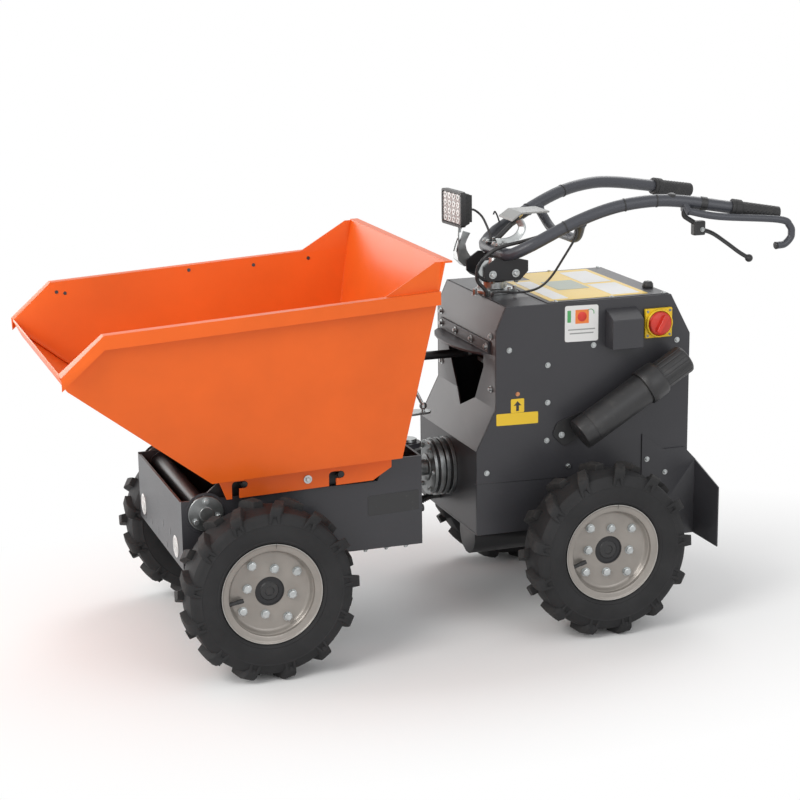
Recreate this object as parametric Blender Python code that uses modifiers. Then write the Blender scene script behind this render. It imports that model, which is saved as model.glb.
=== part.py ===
"""Walk-behind electric site dumper with an articulated chassis.

The skip tips forward over the front axle, the front half turns about an upright
kingpin between the two halves, and a drag link ties that turn to the handlebar.
X runs to the operator's end, Y to the machine's right, Z up, in metres.
Places are written from the front axle; everything is then shifted so that the
middle of the whole machine stands on the origin.
"""
from math import atan2, cos, hypot, pi, radians, sin

import bmesh
import bpy
from mathutils import Matrix, Vector

# Gaps between pieces
SEAT_GAP = 0.0003
OVERRUN = 0.01
RUNNING_GAP = 0.007

# Wheels and axles
WHEEL_BASE = 0.815
TYRE_RADIUS = 0.2035
TYRE_WIDTH = 0.106
LUG_HEIGHT = 0.014
LUG_COUNT = 13
LUG_SKEW_SHARE = 0.62
LUG_ROOT_SHARE = 0.25
BEAD_SHARE = 0.74
WALL_SHARE = 0.55
SHOULDER_SHARE = 0.93
TREAD_DROP = 0.006
RIM_RADIUS = 0.1155
RIM_SEAT_RADIUS = 0.1015
RIM_WALL = 0.004
RIM_STEP = 0.006
RIM_INSET = 0.003
TYRE_CLEARANCE = 0.02478
HUB_HOLE_RADIUS = 0.0335
HUB_CAP_RADIUS = 0.024
HUB_CAP_PROUD = 0.012
DISC_DEPTH = 0.024
AXLE_TUBE_RADIUS = 0.024
HUB_FLANGE_RADIUS = 0.082
HUB_FLANGE_WIDTH = 0.012
GEARBOX_RADIUS = 0.066
GEARBOX_WIDTH = 0.11
MOTOR_RADIUS = 0.052
MOTOR_LENGTH = 0.16
AXLE_SADDLE_WIDTH = 0.05
AXLE_SADDLE_LENGTH = 0.10
FRONT_SADDLE_LENGTH = 0.20

# Front chassis, a welded trough of plate
FRONT_NOSE_X = -0.170
FRONT_TAIL_X = 0.392
FRONT_HALF_WIDTH = 0.228
WHEEL_FACE_Y = (FRONT_HALF_WIDTH + TYRE_CLEARANCE + TYRE_WIDTH * (1 + BEAD_SHARE) / 2
                + RIM_WALL + RIM_INSET)
FRONT_PLATE = 0.006
BELLY_Z = 0.240
NOSE_TOP_Z = 0.396
SIDE_LOW_TOP_Z = 0.399
SIDE_HIGH_TOP_Z = 0.449
SIDE_STEP_X = 0.285
SIDE_STEP_RUN = 0.022

# Tipping gear
TIP_X = -0.116
TIP_Z = 0.369
TIP_SHAFT_RADIUS = 0.016
TIP_FLANGE_RADIUS = 0.040
TIP_FLANGE_WIDTH = 0.007
TIP_STUB_PROUD = 0.005
TIP_ARM_PLATE = 0.006
TIP_ARM_HEIGHT = 0.040
TIP_ARM_REAR_X = 0.245
TIP_ARM_SETBACK = 0.053
TIP_EYE_RADIUS = 0.030
CROSS_BAR_DEPTH = 0.030

# Skip
LIP_X = -0.436
LIP_Z = 0.726
LIP_KINK_X = -0.418
LIP_KINK_Z = 0.690
RAIL_FRONT_X = -0.343
RAIL_FRONT_Z = 0.807
RAIL_REAR_X = 0.400
RAIL_REAR_Z = 0.845
FLOOR_FRONT_X = -0.108
FLOOR_FRONT_Z = 0.449
FLOOR_REAR_X = 0.328
FLOOR_REAR_Z = 0.463
REAR_WALL_TOP_Z = 0.909
SKIP_TOP_HALF_WIDTH = 0.326
SKIP_FLOOR_HALF_WIDTH = 0.272
RAIL_HALF_WIDTH = 0.342
RAIL_DROP = 0.028
SKIP_WALL = 0.004
GUSSET_FOOT_X = 0.267
REAR_LEDGE = 0.018

# Hook rails under the skip
HOOK_RAIL_PLATE = 0.005
HOOK_RAIL_FRONT_X = -0.069
HOOK_RAIL_REAR_X = 0.271
HOOK_RAIL_TIP_X = 0.316
HOOK_RAIL_FRONT_Z = 0.397
HOOK_RAIL_REAR_Z = 0.406
HOOK_PIN_RADIUS = 0.0075
HOOK_SLOT_RADIUS = 0.0082
HOOK_PIN_Z = 0.428
FRONT_HOOK_X = -0.028
REAR_HOOK_X = 0.196
HOOK_REACH = 0.020

# Kingpin between the halves
KINGPIN_X = 0.440
KINGPIN_RADIUS = 0.014
BARREL_RADIUS = 0.030
BARREL_LOW_Z = 0.303
BARREL_TOP_Z = 0.403
CLEVIS_PLATE = 0.012
CLEVIS_HALF_WIDTH = 0.045
CLEVIS_GAP = 0.0055
KINGPIN_HEAD = 0.008
SWIVEL_Z = 0.353
STUB_RADIUS = 0.020
SWIVEL_HUB_X = 0.482
SWIVEL_HUB_RADIUS = 0.033
SWIVEL_DISC_X = 0.498
SWIVEL_DISC_RADIUS = 0.070
SWIVEL_NECK_RADIUS = 0.058
SWIVEL_DISC_WIDTH = 0.009

# Rear chassis box
REAR_HALF_WIDTH = 0.194
REAR_PLATE = 0.004
REAR_BELLY_Z = 0.230
REAR_TOE_X = 0.539
REAR_TOE_TOP_Z = 0.433
REAR_FACE_X = 0.587
REAR_FACE_LOW_Z = 0.529
REAR_DECK_FRONT_X = 0.612
REAR_DECK_REAR_X = 1.028
REAR_DECK_Z = 0.768
REAR_FRONT_CHAMFER = 0.056
REAR_BACK_RUN = 0.051
REAR_FACE_TOP_Z = REAR_DECK_Z - REAR_FRONT_CHAMFER
REAR_BACK_X = REAR_DECK_REAR_X + REAR_BACK_RUN
REAR_BACK_TOP_Z = 0.671
LID_FRONT_X = 0.716
LID_LIP = 0.002
OPENING_HALF_WIDTH = 0.115
OPENING_TOP_Z = 0.648
OPENING_LOW_Z = 0.500
OPENING_NOTCH_HALF_WIDTH = 0.060
GUARD_Z = 0.655
GUARD_PLATE = 0.005
GUARD_RADIUS = 0.158
GUARD_REACH = 0.055
GUARD_TAB = 0.028

# Things fastened to the rear box
CANISTER_RADIUS = 0.0385
CANISTER_RING_RADIUS = 0.044
CANISTER_CAP_RADIUS = 0.0355
CANISTER_LOW_X = 0.777
CANISTER_LOW_Z = 0.463
CANISTER_HIGH_X = 1.044
CANISTER_HIGH_Z = 0.624
CANISTER_RING_SHARES = (0.60, 0.76)
CANISTER_TAB = 0.044
CANISTER_TAB_PLATE = 0.004
CANISTER_STANDOFF = 0.010
ISOLATOR_SETBACK = 0.035
ISOLATOR_X = REAR_DECK_REAR_X - ISOLATOR_SETBACK
ISOLATOR_Z = 0.703
ISOLATOR_HALF = 0.035
ISOLATOR_DEPTH = 0.012
ISOLATOR_BEZEL_RADIUS = 0.033
ISOLATOR_KNOB_RADIUS = 0.026
ISOLATOR_KNOB_DEPTH = 0.020
ISOLATOR_GRIP = 0.010
HOUSING_SPACING = 0.093
HOUSING_X = ISOLATOR_X - HOUSING_SPACING
HOUSING_HALF_WIDTH = 0.039
HOUSING_TOP_Z = 0.746
HOUSING_LOW_Z = 0.655
HOUSING_DEPTH = 0.042
HOUSING_SLOPE = 0.022
MUDGUARD_OVERHANG = 0.021
MUDGUARD_X = REAR_BACK_X + MUDGUARD_OVERHANG
MUDGUARD_PLATE = 0.003
MUDGUARD_SIDE_LENGTH = 0.142
MUDGUARD_STEP_SHARES = (0.40, 0.78)
MUDGUARD_TOP_Z = 0.436
MUDGUARD_STEP_Z = 0.394
MUDGUARD_FOLD_Z = 0.361
MUDGUARD_LOW_Z = 0.177
MUDGUARD_OUT_TOP_Z = 0.323
MUDGUARD_TUCK = 0.033
MUDGUARD_OUT_Y = WHEEL_FACE_Y - MUDGUARD_TUCK
BATTERY_LENGTH = 0.26
BATTERY_WIDTH = 0.30
BATTERY_HEIGHT = 0.22
BATTERY_BED_Z = 0.335
CANISTER_TAB_SHARES = (0.12, 0.46)
BACK_GRILLE_HALF_WIDTH = 0.09
BACK_GRILLE_SLOT = 0.012
BACK_GRILLE_COUNT = 5
BACK_GRILLE_PITCH = 0.028
BACK_GRILLE_Z = 0.50

# Conduit of the front motor's leads
CONDUIT_RADIUS = 0.010
CONDUIT_Y = 0.060
CONDUIT_Z = 0.262
CONDUIT_SAG = 0.016
CONDUIT_COLLAR = 0.015
CONDUIT_STEPS = 7

# Steering column and handlebar
COLUMN_X = 0.660
COLUMN_RADIUS = 0.016
COLUMN_HOUSING_RADIUS = 0.030
COLUMN_HOUSING_TOP_Z = 0.796
COLUMN_LOW_Z = 0.592
COLUMN_FLANGE_RADIUS = 0.046
COLUMN_FLANGE_WIDTH = 0.008
BRACKET_HALF_WIDTH = 0.062
BRACKET_PLATE = 0.006
BRACKET_LOW_Z = 0.803
BRACKET_TOP_Z = 0.858
BRACKET_FRONT_X = 0.612
BRACKET_REAR_X = 0.722
STEER_ARM = 0.060
STEER_ARM_PLATE = 0.010
STEER_ARM_HALF_WIDTH = 0.019
DRAG_LINK_Z = 0.612
DRAG_LINK_RADIUS = 0.0106
DRAG_EYE_RADIUS = 0.017
DRAG_EYE_HEIGHT = 0.022
DRAG_PIN_RADIUS = 0.007
DRAG_PIN_CLEARANCE = 0.001
MAST_PLATE = 0.008
MAST_HALF_WIDTH = 0.055
MAST_TOP_HALF_WIDTH = 0.030
ARM_ROOT_SHARE = 0.9
BRACE_ROD_RADIUS = 0.0045
BRACE_STUD_RADIUS = 0.004
BRACE_TAB_PLATE = 0.005
BRACE_BALL_RADIUS = 0.0095
BRACE_FOOT_X = 0.478
BRACE_FOOT_Z = 0.505
TUBE_RADIUS = 0.0145
BAR_BASE_Z = 0.866
GRIP_RADIUS = 0.0175
GRIP_LENGTH = 0.118
COLLAR_RADIUS = 0.021
COLLAR_LENGTH = 0.024
HOOK_TUBE_RADIUS = 0.0085
ROOT_OVERRUN_SHARE = 0.2
HOOP_RADIUS = 0.0115
HOOP_DIP = 0.056
HOOP_PLACE_SHARE = 0.15
HOOP_FOOT_SHARE = 0.55
THROTTLE_LENGTH = 0.034
THROTTLE_DROP = 0.050
THROTTLE_HALF_WIDTH = 0.013
THROTTLE_POST_DROP = 0.040
THROTTLE_POST_RADIUS = 0.005
THROTTLE_POST_SHARE = 0.6
COVER_LENGTH = 0.095
COVER_WIDTH = 0.085
COVER_PLATE = 0.004
COVER_LIFT = 0.032
COVER_OFFSET = 0.035
COVER_STAY_RADIUS = 0.006
LEVER_LUG_HALF = 0.006
LEVER_LUG_DEPTH = 0.022
LEVER_RADIUS = 0.0045
LEVER_BALL_RADIUS = 0.0095
LEVER_REACH = 0.124
LEVER_FALL = 0.077
PERCH_REACH = 0.038
PERCH_DROP = 0.064
PERCH_LENGTH = 0.030
PERCH_WIDTH = 0.020
PERCH_HEIGHT = 0.034
LAMP_X = 0.6015
LAMP_Y = 0.085
LAMP_YAW = 6
LAMP_Z = 0.962
LAMP_HALF_WIDTH = 0.052
LAMP_HALF_HEIGHT = 0.043
LAMP_DEPTH = 0.036
LAMP_BACK_SHARE = 0.78
LAMP_BRACKET_PLATE = 0.004
LAMP_BRACKET_HALF_WIDTH = 0.016
LAMP_BRACKET_RISE = 0.0185
CABLE_RADIUS = 0.0028
BAR_CABLE_RADIUS = 0.0045

# Bars of the handlebar on the right side, as places x, y, z from the front axle
BAR_PATH = (
    (0.664, 0.088, BAR_BASE_Z),
    (0.710, 0.115, 0.893),
    (0.812, 0.133, 0.943),
    (0.900, 0.153, 0.974),
    (0.985, 0.172, 0.986),
    (1.060, 0.186, 0.982),
    (1.170, 0.206, 0.964),
)
LEFT_HOOK_PATH = (
    (1.062, -0.207, 0.962),
    (1.130, -0.226, 0.948),
    (1.270, -0.252, 0.936),
    (1.300, -0.253, 0.920),
    (1.306, -0.253, 0.897),
    (1.290, -0.253, 0.878),
    (1.268, -0.253, 0.875),
)
CONTROL_CABLE_PATH = (
    (0.812, -0.133, 0.9262),
    (0.812, -0.131, 0.908),
    (0.786, -0.112, 0.852),
    (0.764, -0.098, 0.811),
    (0.738, -0.088, 0.786),
    (0.702, -0.080, 0.777),
    (0.664, -0.076, 0.779),
    (0.634, -0.074, 0.780),
    (0.627, -0.073, 0.777),
    (0.627, -0.073, 0.7690),
)
BAR_CABLE_PATH = (
    (0.806, -0.1130, 0.9365),
    (0.770, -0.1030, 0.9195),
    (0.740, -0.0925, 0.908),
    (0.698, -0.078, 0.896),
    (0.664, -0.068, 0.888),
    (0.634, -0.060, 0.876),
    (0.604, -0.052, 0.846),
    (0.598, -0.048, 0.810),
    (0.612, -0.049, 0.790),
    (0.620, -0.050, 0.779),
    (0.620, -0.050, 0.7692),
)
LAMP_CABLE_PATH = (
    (0.6222, 0.0670, 0.955),
    (0.6361, 0.0685, 0.955),
    (0.652, 0.058, 0.940),
    (0.660, 0.042, 0.915),
    (0.664, 0.033, 0.895),
    (0.664, 0.030, 0.8810),
)

ROUND = 20
FINE_ROUND = 16
SMALL_ROUND = 10
CURVE_STEPS = 5

FRONT_AXLE_Z = TYRE_RADIUS
COLUMN_TOP_Z = BAR_BASE_Z - TUBE_RADIUS - SEAT_GAP
HOOK_END_X = max(point[0] for point in LEFT_HOOK_PATH) + HOOK_TUBE_RADIUS
ORIGIN_SHIFT = Vector((-(LIP_X - SKIP_WALL / 3 + HOOK_END_X) / 2, 0, 0))

BODY_AXES = {
    "rear_chassis": Vector((WHEEL_BASE, 0, FRONT_AXLE_Z)),
    "front_chassis": Vector((KINGPIN_X, 0, SWIVEL_Z)),
    "skip": Vector((TIP_X, 0, TIP_Z)),
    "handlebar": Vector((COLUMN_X, 0, COLUMN_HOUSING_TOP_Z)),
    "drag_link": Vector((KINGPIN_X, STEER_ARM, DRAG_LINK_Z)),
    "front_left_wheel": Vector((0, -WHEEL_FACE_Y, FRONT_AXLE_Z)),
    "front_right_wheel": Vector((0, WHEEL_FACE_Y, FRONT_AXLE_Z)),
    "rear_left_wheel": Vector((WHEEL_BASE, -WHEEL_FACE_Y, FRONT_AXLE_Z)),
    "rear_right_wheel": Vector((WHEEL_BASE, WHEEL_FACE_Y, FRONT_AXLE_Z)),
}

# Axes of a flat outline: the plane that it is drawn in, by its normal
UPRIGHT_LENGTHWISE = Matrix(((1, 0, 0, 0), (0, 0, -1, 0), (0, 1, 0, 0), (0, 0, 0, 1)))
UPRIGHT_CROSSWISE = Matrix(((0, 0, 1, 0), (1, 0, 0, 0), (0, 1, 0, 0), (0, 0, 0, 1)))
LEVEL = Matrix.Identity(4)


def clear_scene():
    for obj in list(bpy.data.objects):
        bpy.data.objects.remove(obj)


def make_collection(name):
    collection = bpy.data.collections.new(name)
    bpy.context.scene.collection.children.link(collection)
    return collection


def make_finish(name, colour, roughness, metallic):
    material = bpy.data.materials.new(name)
    material.use_nodes = True
    shader = material.node_tree.nodes["Principled BSDF"]
    shader.inputs["Base Color"].default_value = (*colour, 1)
    shader.inputs["Roughness"].default_value = roughness
    shader.inputs["Metallic"].default_value = metallic
    return material


def make_axes(collection):
    """One empty for the whole machine, and one on the axis of each moving body."""
    machine = bpy.data.objects.new("site_dumper", None)
    machine.location = ORIGIN_SHIFT
    collection.objects.link(machine)
    empties = {}
    for body, axis in BODY_AXES.items():
        empty = bpy.data.objects.new(body + "_axis", None)
        empty.location = axis
        empty.parent = machine
        collection.objects.link(empty)
        empties[body] = empty
    return empties


def new_object(name, mesh):
    return bpy.data.objects.new(name, mesh)


def finish(obj, body, material):
    """Hang a finished piece on its body's axis, where it already stands."""
    obj.parent = AXES[body]
    obj.location = obj.location - BODY_AXES[body]
    obj.data.materials.clear()
    obj.data.materials.append(material)
    PARTS.objects.link(obj)
    return obj


def as_guide(obj):
    """A shape that only cuts or is joined into another."""
    obj.parent = MACHINE
    obj.hide_render = True
    obj.display_type = "WIRE"
    GUIDES.objects.link(obj)
    return obj


def combine(obj, guide, operation):
    modifier = obj.modifiers.new(guide.name, "BOOLEAN")
    modifier.operation = operation
    modifier.object = as_guide(guide)
    modifier.solver = "EXACT"
    return obj


def cut(obj, *guides):
    for guide in guides:
        combine(obj, guide, "DIFFERENCE")
    return obj


def join(obj, *guides):
    for guide in guides:
        combine(obj, guide, "UNION")
    return obj


def block(name, low, high):
    low, high = Vector(low), Vector(high)
    mesh = bpy.data.meshes.new(name)
    shape = bmesh.new()
    bmesh.ops.create_cube(shape, size=1)
    size = Matrix.Diagonal((*(high - low), 1))
    bmesh.ops.transform(shape, matrix=Matrix.Translation((low + high) / 2) @ size, verts=shape.verts)
    shape.to_mesh(mesh)
    shape.free()
    return new_object(name, mesh)


def rod(name, start, end, radius, end_radius=None, sides=ROUND):
    """A round bar or cone between two places."""
    start, end = Vector(start), Vector(end)
    along = end - start
    mesh = bpy.data.meshes.new(name)
    shape = bmesh.new()
    bmesh.ops.create_cone(
        shape, cap_ends=True, segments=sides, radius1=radius,
        radius2=radius if end_radius is None else end_radius, depth=along.length)
    turn = along.to_track_quat("Z", "Y").to_matrix().to_4x4() @ Matrix.Rotation(pi / sides, 4, "Z")
    bmesh.ops.transform(shape, matrix=Matrix.Translation((start + end) / 2) @ turn, verts=shape.verts)
    shape.to_mesh(mesh)
    shape.free()
    mesh.shade_smooth()
    mesh.set_sharp_from_angle(angle=radians(40))
    return new_object(name, mesh)


def ball(name, centre, radius):
    mesh = bpy.data.meshes.new(name)
    shape = bmesh.new()
    bmesh.ops.create_uvsphere(shape, u_segments=SMALL_ROUND, v_segments=CURVE_STEPS, radius=radius)
    bmesh.ops.translate(shape, vec=Vector(centre), verts=shape.verts)
    shape.to_mesh(mesh)
    shape.free()
    mesh.shade_smooth()
    return new_object(name, mesh)


def mesh_from_curve(name, curve):
    """Turn a curve into a welded closed mesh and drop the curve."""
    holder = bpy.data.objects.new(name + "_curve", curve)
    bpy.context.scene.collection.objects.link(holder)
    graph = bpy.context.evaluated_depsgraph_get()
    mesh = bpy.data.meshes.new_from_object(holder.evaluated_get(graph))
    bpy.data.objects.remove(holder)
    bpy.data.curves.remove(curve)
    shape = bmesh.new()
    shape.from_mesh(mesh)
    bmesh.ops.remove_doubles(shape, verts=shape.verts, dist=0.00001)
    bmesh.ops.recalc_face_normals(shape, faces=shape.faces)
    shape.to_mesh(mesh)
    shape.free()
    mesh.name = name
    return mesh


def plate(name, outline, middle, thickness, axes):
    """A flat outline given its thickness; middle is its place along the normal."""
    curve = bpy.data.curves.new(name, "CURVE")
    curve.dimensions = "2D"
    curve.fill_mode = "BOTH"
    curve.extrude = thickness / 2
    spline = curve.splines.new("POLY")
    spline.points.add(len(outline) - 1)
    for point, place in zip(spline.points, outline):
        point.co = (place[0], place[1], 0, 1)
    spline.use_cyclic_u = True
    mesh = mesh_from_curve(name, curve)
    normal = axes @ Vector((0, 0, 1))
    across = Vector((abs(normal.x), abs(normal.y), abs(normal.z)))
    mesh.transform(Matrix.Translation(across * middle) @ axes)
    return new_object(name, mesh)


def tube(name, places, radius, resolution=3, smooth=True):
    """A round tube along a smooth line through the given places."""
    curve = bpy.data.curves.new(name, "CURVE")
    curve.dimensions = "3D"
    curve.bevel_depth = radius
    curve.bevel_resolution = resolution
    curve.use_fill_caps = True
    points = smooth_line(places) if smooth else [Vector(place) for place in places]
    spline = curve.splines.new("POLY")
    spline.points.add(len(points) - 1)
    for point, place in zip(spline.points, points):
        point.co = (*place, 1)
    mesh = mesh_from_curve(name, curve)
    mesh.shade_smooth()
    mesh.set_sharp_from_angle(angle=radians(50))
    return new_object(name, mesh)


def smooth_line(places, steps=2):
    """Points along a smooth line that passes through every place."""
    places = [Vector(place) for place in places]
    ends = [places[0] * 2 - places[1], *places, places[-1] * 2 - places[-2]]
    points = []
    for index in range(1, len(ends) - 2):
        before, here, there, after = ends[index - 1:index + 3]
        for step in range(steps):
            t = step / steps
            points.append(0.5 * (
                2 * here + (there - before) * t
                + (2 * before - 5 * here + 4 * there - after) * t ** 2
                + (3 * here - before - 3 * there + after) * t ** 3))
    return points + [places[-1]]


def arc(centre, radius, start, end, steps=CURVE_STEPS):
    """Points of an arc in a flat outline, angles in degrees."""
    turn = radians(end - start)
    return [
        (centre[0] + radius * cos(radians(start) + turn * step / steps),
         centre[1] + radius * sin(radians(start) + turn * step / steps))
        for step in range(steps + 1)]


def capsule(start, end, radius):
    """Outline of a slot with round ends."""
    heading = atan2(end[1] - start[1], end[0] - start[0]) * 180 / pi
    return (arc(end, radius, heading - 90, heading + 90)
            + arc(start, radius, heading + 90, heading + 270))


def turned(name, profile, steps, centre, facing):
    """A closed profile (radius, along) turned about the Y axis; along points outwards."""
    mesh = bpy.data.meshes.new(name)
    edges = [(index, (index + 1) % len(profile)) for index in range(len(profile))]
    mesh.from_pydata([(radius, 0, along) for radius, along in profile], edges, [])
    obj = new_object(name, mesh)
    screw = obj.modifiers.new("turn", "SCREW")
    screw.steps = steps
    screw.render_steps = steps
    screw.use_merge_vertices = True
    screw.merge_threshold = 0.0001
    screw.use_smooth_shade = True
    obj.rotation_euler = (radians(-90) * facing, 0, 0)
    obj.location = centre
    return obj


def skip_half_width(z):
    """The skip's sides lean out evenly from its floor to its rails."""
    share = (z - FLOOR_FRONT_Z) / (RAIL_REAR_Z - FLOOR_FRONT_Z)
    return SKIP_FLOOR_HALF_WIDTH + (SKIP_TOP_HALF_WIDTH - SKIP_FLOOR_HALF_WIDTH) * share


def rear_wall_x(z):
    """The skip's rear wall leans back evenly."""
    lean = (RAIL_REAR_X - FLOOR_REAR_X) / (RAIL_REAR_Z - FLOOR_REAR_Z)
    return FLOOR_REAR_X + (z - FLOOR_REAR_Z) * lean


def rail_z(x):
    """Height of the skip's top rail along its length."""
    slope = (RAIL_REAR_Z - RAIL_FRONT_Z) / (RAIL_REAR_X - RAIL_FRONT_X)
    return RAIL_FRONT_Z + (x - RAIL_FRONT_X) * slope


def floor_z(x):
    """Height of the skip's floor along its length."""
    slope = (FLOOR_REAR_Z - FLOOR_FRONT_Z) / (FLOOR_REAR_X - FLOOR_FRONT_X)
    return FLOOR_FRONT_Z + (x - FLOOR_FRONT_X) * slope


def make_skip():
    """Welded skip: one folded sheet surface thickened, with its two rear gussets."""
    shape = bmesh.new()
    corner = {}

    def at(key, x, y, z):
        corner[key] = shape.verts.new((x, y, z))

    rear_top_x = rear_wall_x(REAR_WALL_TOP_Z)
    outline = (
        ("lip", LIP_X, LIP_Z), ("rail_front", RAIL_FRONT_X, RAIL_FRONT_Z),
        ("rail_rear", RAIL_REAR_X, RAIL_REAR_Z), ("floor_rear", FLOOR_REAR_X, FLOOR_REAR_Z),
        ("floor_front", FLOOR_FRONT_X, FLOOR_FRONT_Z), ("kink", LIP_KINK_X, LIP_KINK_Z))
    for side in (-1, 1):
        for key, x, z in outline:
            at((key, side), x, side * skip_half_width(z), z)
        at(("rear_top", side), rear_top_x, side * skip_half_width(REAR_WALL_TOP_Z), REAR_WALL_TOP_Z)
        at(("ledge", side), rear_top_x + REAR_LEDGE, side * skip_half_width(REAR_WALL_TOP_Z),
           REAR_WALL_TOP_Z)
        for key, x, z in outline[:3]:
            at(("out_" + key, side), x, side * RAIL_HALF_WIDTH, z)
            at(("down_" + key, side), x, side * RAIL_HALF_WIDTH, z - RAIL_DROP)
    for side in (-1, 1):
        face = [corner[key, side] for key, x, z in outline]
        shape.faces.new(face if side > 0 else face[::-1])
        for first, second in (("lip", "rail_front"), ("rail_front", "rail_rear")):
            for inner, outer in (("", "out_"), ("out_", "down_")):
                strip = [corner[inner + first, side], corner[inner + second, side],
                         corner[outer + second, side], corner[outer + first, side]]
                shape.faces.new(strip[::-1] if side > 0 else strip)
    for first, second in (
            ("lip", "kink"), ("kink", "floor_front"), ("floor_front", "floor_rear"),
            ("floor_rear", "rail_rear"), ("rail_rear", "rear_top"), ("rear_top", "ledge")):
        shape.faces.new((corner[first, -1], corner[second, -1], corner[second, 1], corner[first, 1]))
    bmesh.ops.recalc_face_normals(shape, faces=shape.faces)
    mesh = bpy.data.meshes.new("skip_shell")
    shape.to_mesh(mesh)
    shape.free()
    skip = new_object("skip_shell", mesh)
    sheet = skip.modifiers.new("sheet", "SOLIDIFY")
    sheet.thickness = SKIP_WALL
    sheet.offset = 0
    sheet.use_even_offset = True
    for side in (-1, 1):
        foot = rail_z(GUSSET_FOOT_X) - SKIP_WALL
        gusset = plate("gusset_join", (
            (GUSSET_FOOT_X, foot), (rear_wall_x(foot), foot),
            (rear_top_x, REAR_WALL_TOP_Z), (rear_top_x - REAR_LEDGE, REAR_WALL_TOP_Z)),
            side * SKIP_TOP_HALF_WIDTH, SKIP_WALL, UPRIGHT_LENGTHWISE)
        join(skip, gusset)
    return finish(skip, "skip", ORANGE)


def make_hook_rail(side, label):
    """Plate under the skip's floor with two slots that hook over the tip frame's pins."""
    middle = side * (FRONT_HALF_WIDTH + RUNNING_GAP + HOOK_RAIL_PLATE / 2)
    top_gap = SKIP_WALL / 2 + SEAT_GAP
    outline = (
        (HOOK_RAIL_FRONT_X, HOOK_RAIL_FRONT_Z), (HOOK_RAIL_REAR_X, HOOK_RAIL_REAR_Z),
        (HOOK_RAIL_TIP_X, HOOK_PIN_Z + HOOK_RAIL_PLATE),
        (HOOK_RAIL_TIP_X, floor_z(HOOK_RAIL_TIP_X) - top_gap),
        (FLOOR_FRONT_X + HOOK_REACH, floor_z(FLOOR_FRONT_X + HOOK_REACH) - top_gap))
    rail = plate("hook_rail_" + label, outline, middle, HOOK_RAIL_PLATE, UPRIGHT_LENGTHWISE)
    for hook_x in (FRONT_HOOK_X, REAR_HOOK_X):
        mouth = (hook_x - HOOK_REACH, HOOK_RAIL_FRONT_Z - OVERRUN)
        knee = (hook_x - HOOK_REACH, HOOK_PIN_Z)
        for start, end in ((mouth, knee), (knee, (hook_x, HOOK_PIN_Z))):
            cut(rail, plate("slot_cut", capsule(start, end, HOOK_SLOT_RADIUS), middle,
                            HOOK_RAIL_PLATE + OVERRUN, UPRIGHT_LENGTHWISE))
    return finish(rail, "skip", ORANGE)


def make_tip_frame():
    """Dark frame under the skip: two arms, a rear cross bar, the front eye and four pins."""
    arm_out = FRONT_HALF_WIDTH - FRONT_PLATE - RUNNING_GAP
    pin_out = FRONT_HALF_WIDTH + RUNNING_GAP + HOOK_RAIL_PLATE
    arm_top = floor_z(FLOOR_FRONT_X) - SKIP_WALL / 2 - SEAT_GAP
    outline = (
        *arc((TIP_X, TIP_Z), TIP_EYE_RADIUS, 100, 300),
        (TIP_ARM_REAR_X, arm_top - TIP_ARM_HEIGHT), (TIP_ARM_REAR_X, arm_top),
        (TIP_X + TIP_ARM_SETBACK, arm_top))
    arm_middle = arm_out - TIP_ARM_PLATE / 2
    frame = rod("tip_frame", (TIP_X, -arm_middle, TIP_Z), (TIP_X, arm_middle, TIP_Z),
                TIP_SHAFT_RADIUS + SEAT_GAP + TIP_ARM_PLATE)
    for side in (-1, 1):
        join(frame, plate("arm_join", outline, side * arm_middle, TIP_ARM_PLATE,
                          UPRIGHT_LENGTHWISE))
        for hook_x in (FRONT_HOOK_X, REAR_HOOK_X):
            join(frame, rod("pin_join", (hook_x, side * arm_middle, HOOK_PIN_Z),
                            (hook_x, side * pin_out, HOOK_PIN_Z), HOOK_PIN_RADIUS,
                            sides=SMALL_ROUND))
    join(frame, block("bar_join",
                      (TIP_ARM_REAR_X - CROSS_BAR_DEPTH, -arm_middle, arm_top - CROSS_BAR_DEPTH),
                      (TIP_ARM_REAR_X - SEAT_GAP, arm_middle, arm_top - SEAT_GAP)))
    cut(frame, rod("bore_cut", (TIP_X, -arm_out - OVERRUN, TIP_Z), (TIP_X, arm_out + OVERRUN, TIP_Z),
                   TIP_SHAFT_RADIUS + SEAT_GAP))
    return finish(frame, "skip", BLACK_STEEL)


def make_tip_shaft():
    """Bright shaft through both side plates, with a bolted flange on each."""
    outer = FRONT_HALF_WIDTH + SEAT_GAP
    reach = outer + TIP_FLANGE_WIDTH + TIP_STUB_PROUD
    shaft = rod("tip_shaft", (TIP_X, -reach, TIP_Z), (TIP_X, reach, TIP_Z), TIP_SHAFT_RADIUS)
    for side in (-1, 1):
        join(shaft, rod("flange_join", (TIP_X, side * outer, TIP_Z),
                        (TIP_X, side * (outer + TIP_FLANGE_WIDTH), TIP_Z), TIP_FLANGE_RADIUS))
    return finish(shaft, "front_chassis", ZINC)


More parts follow.
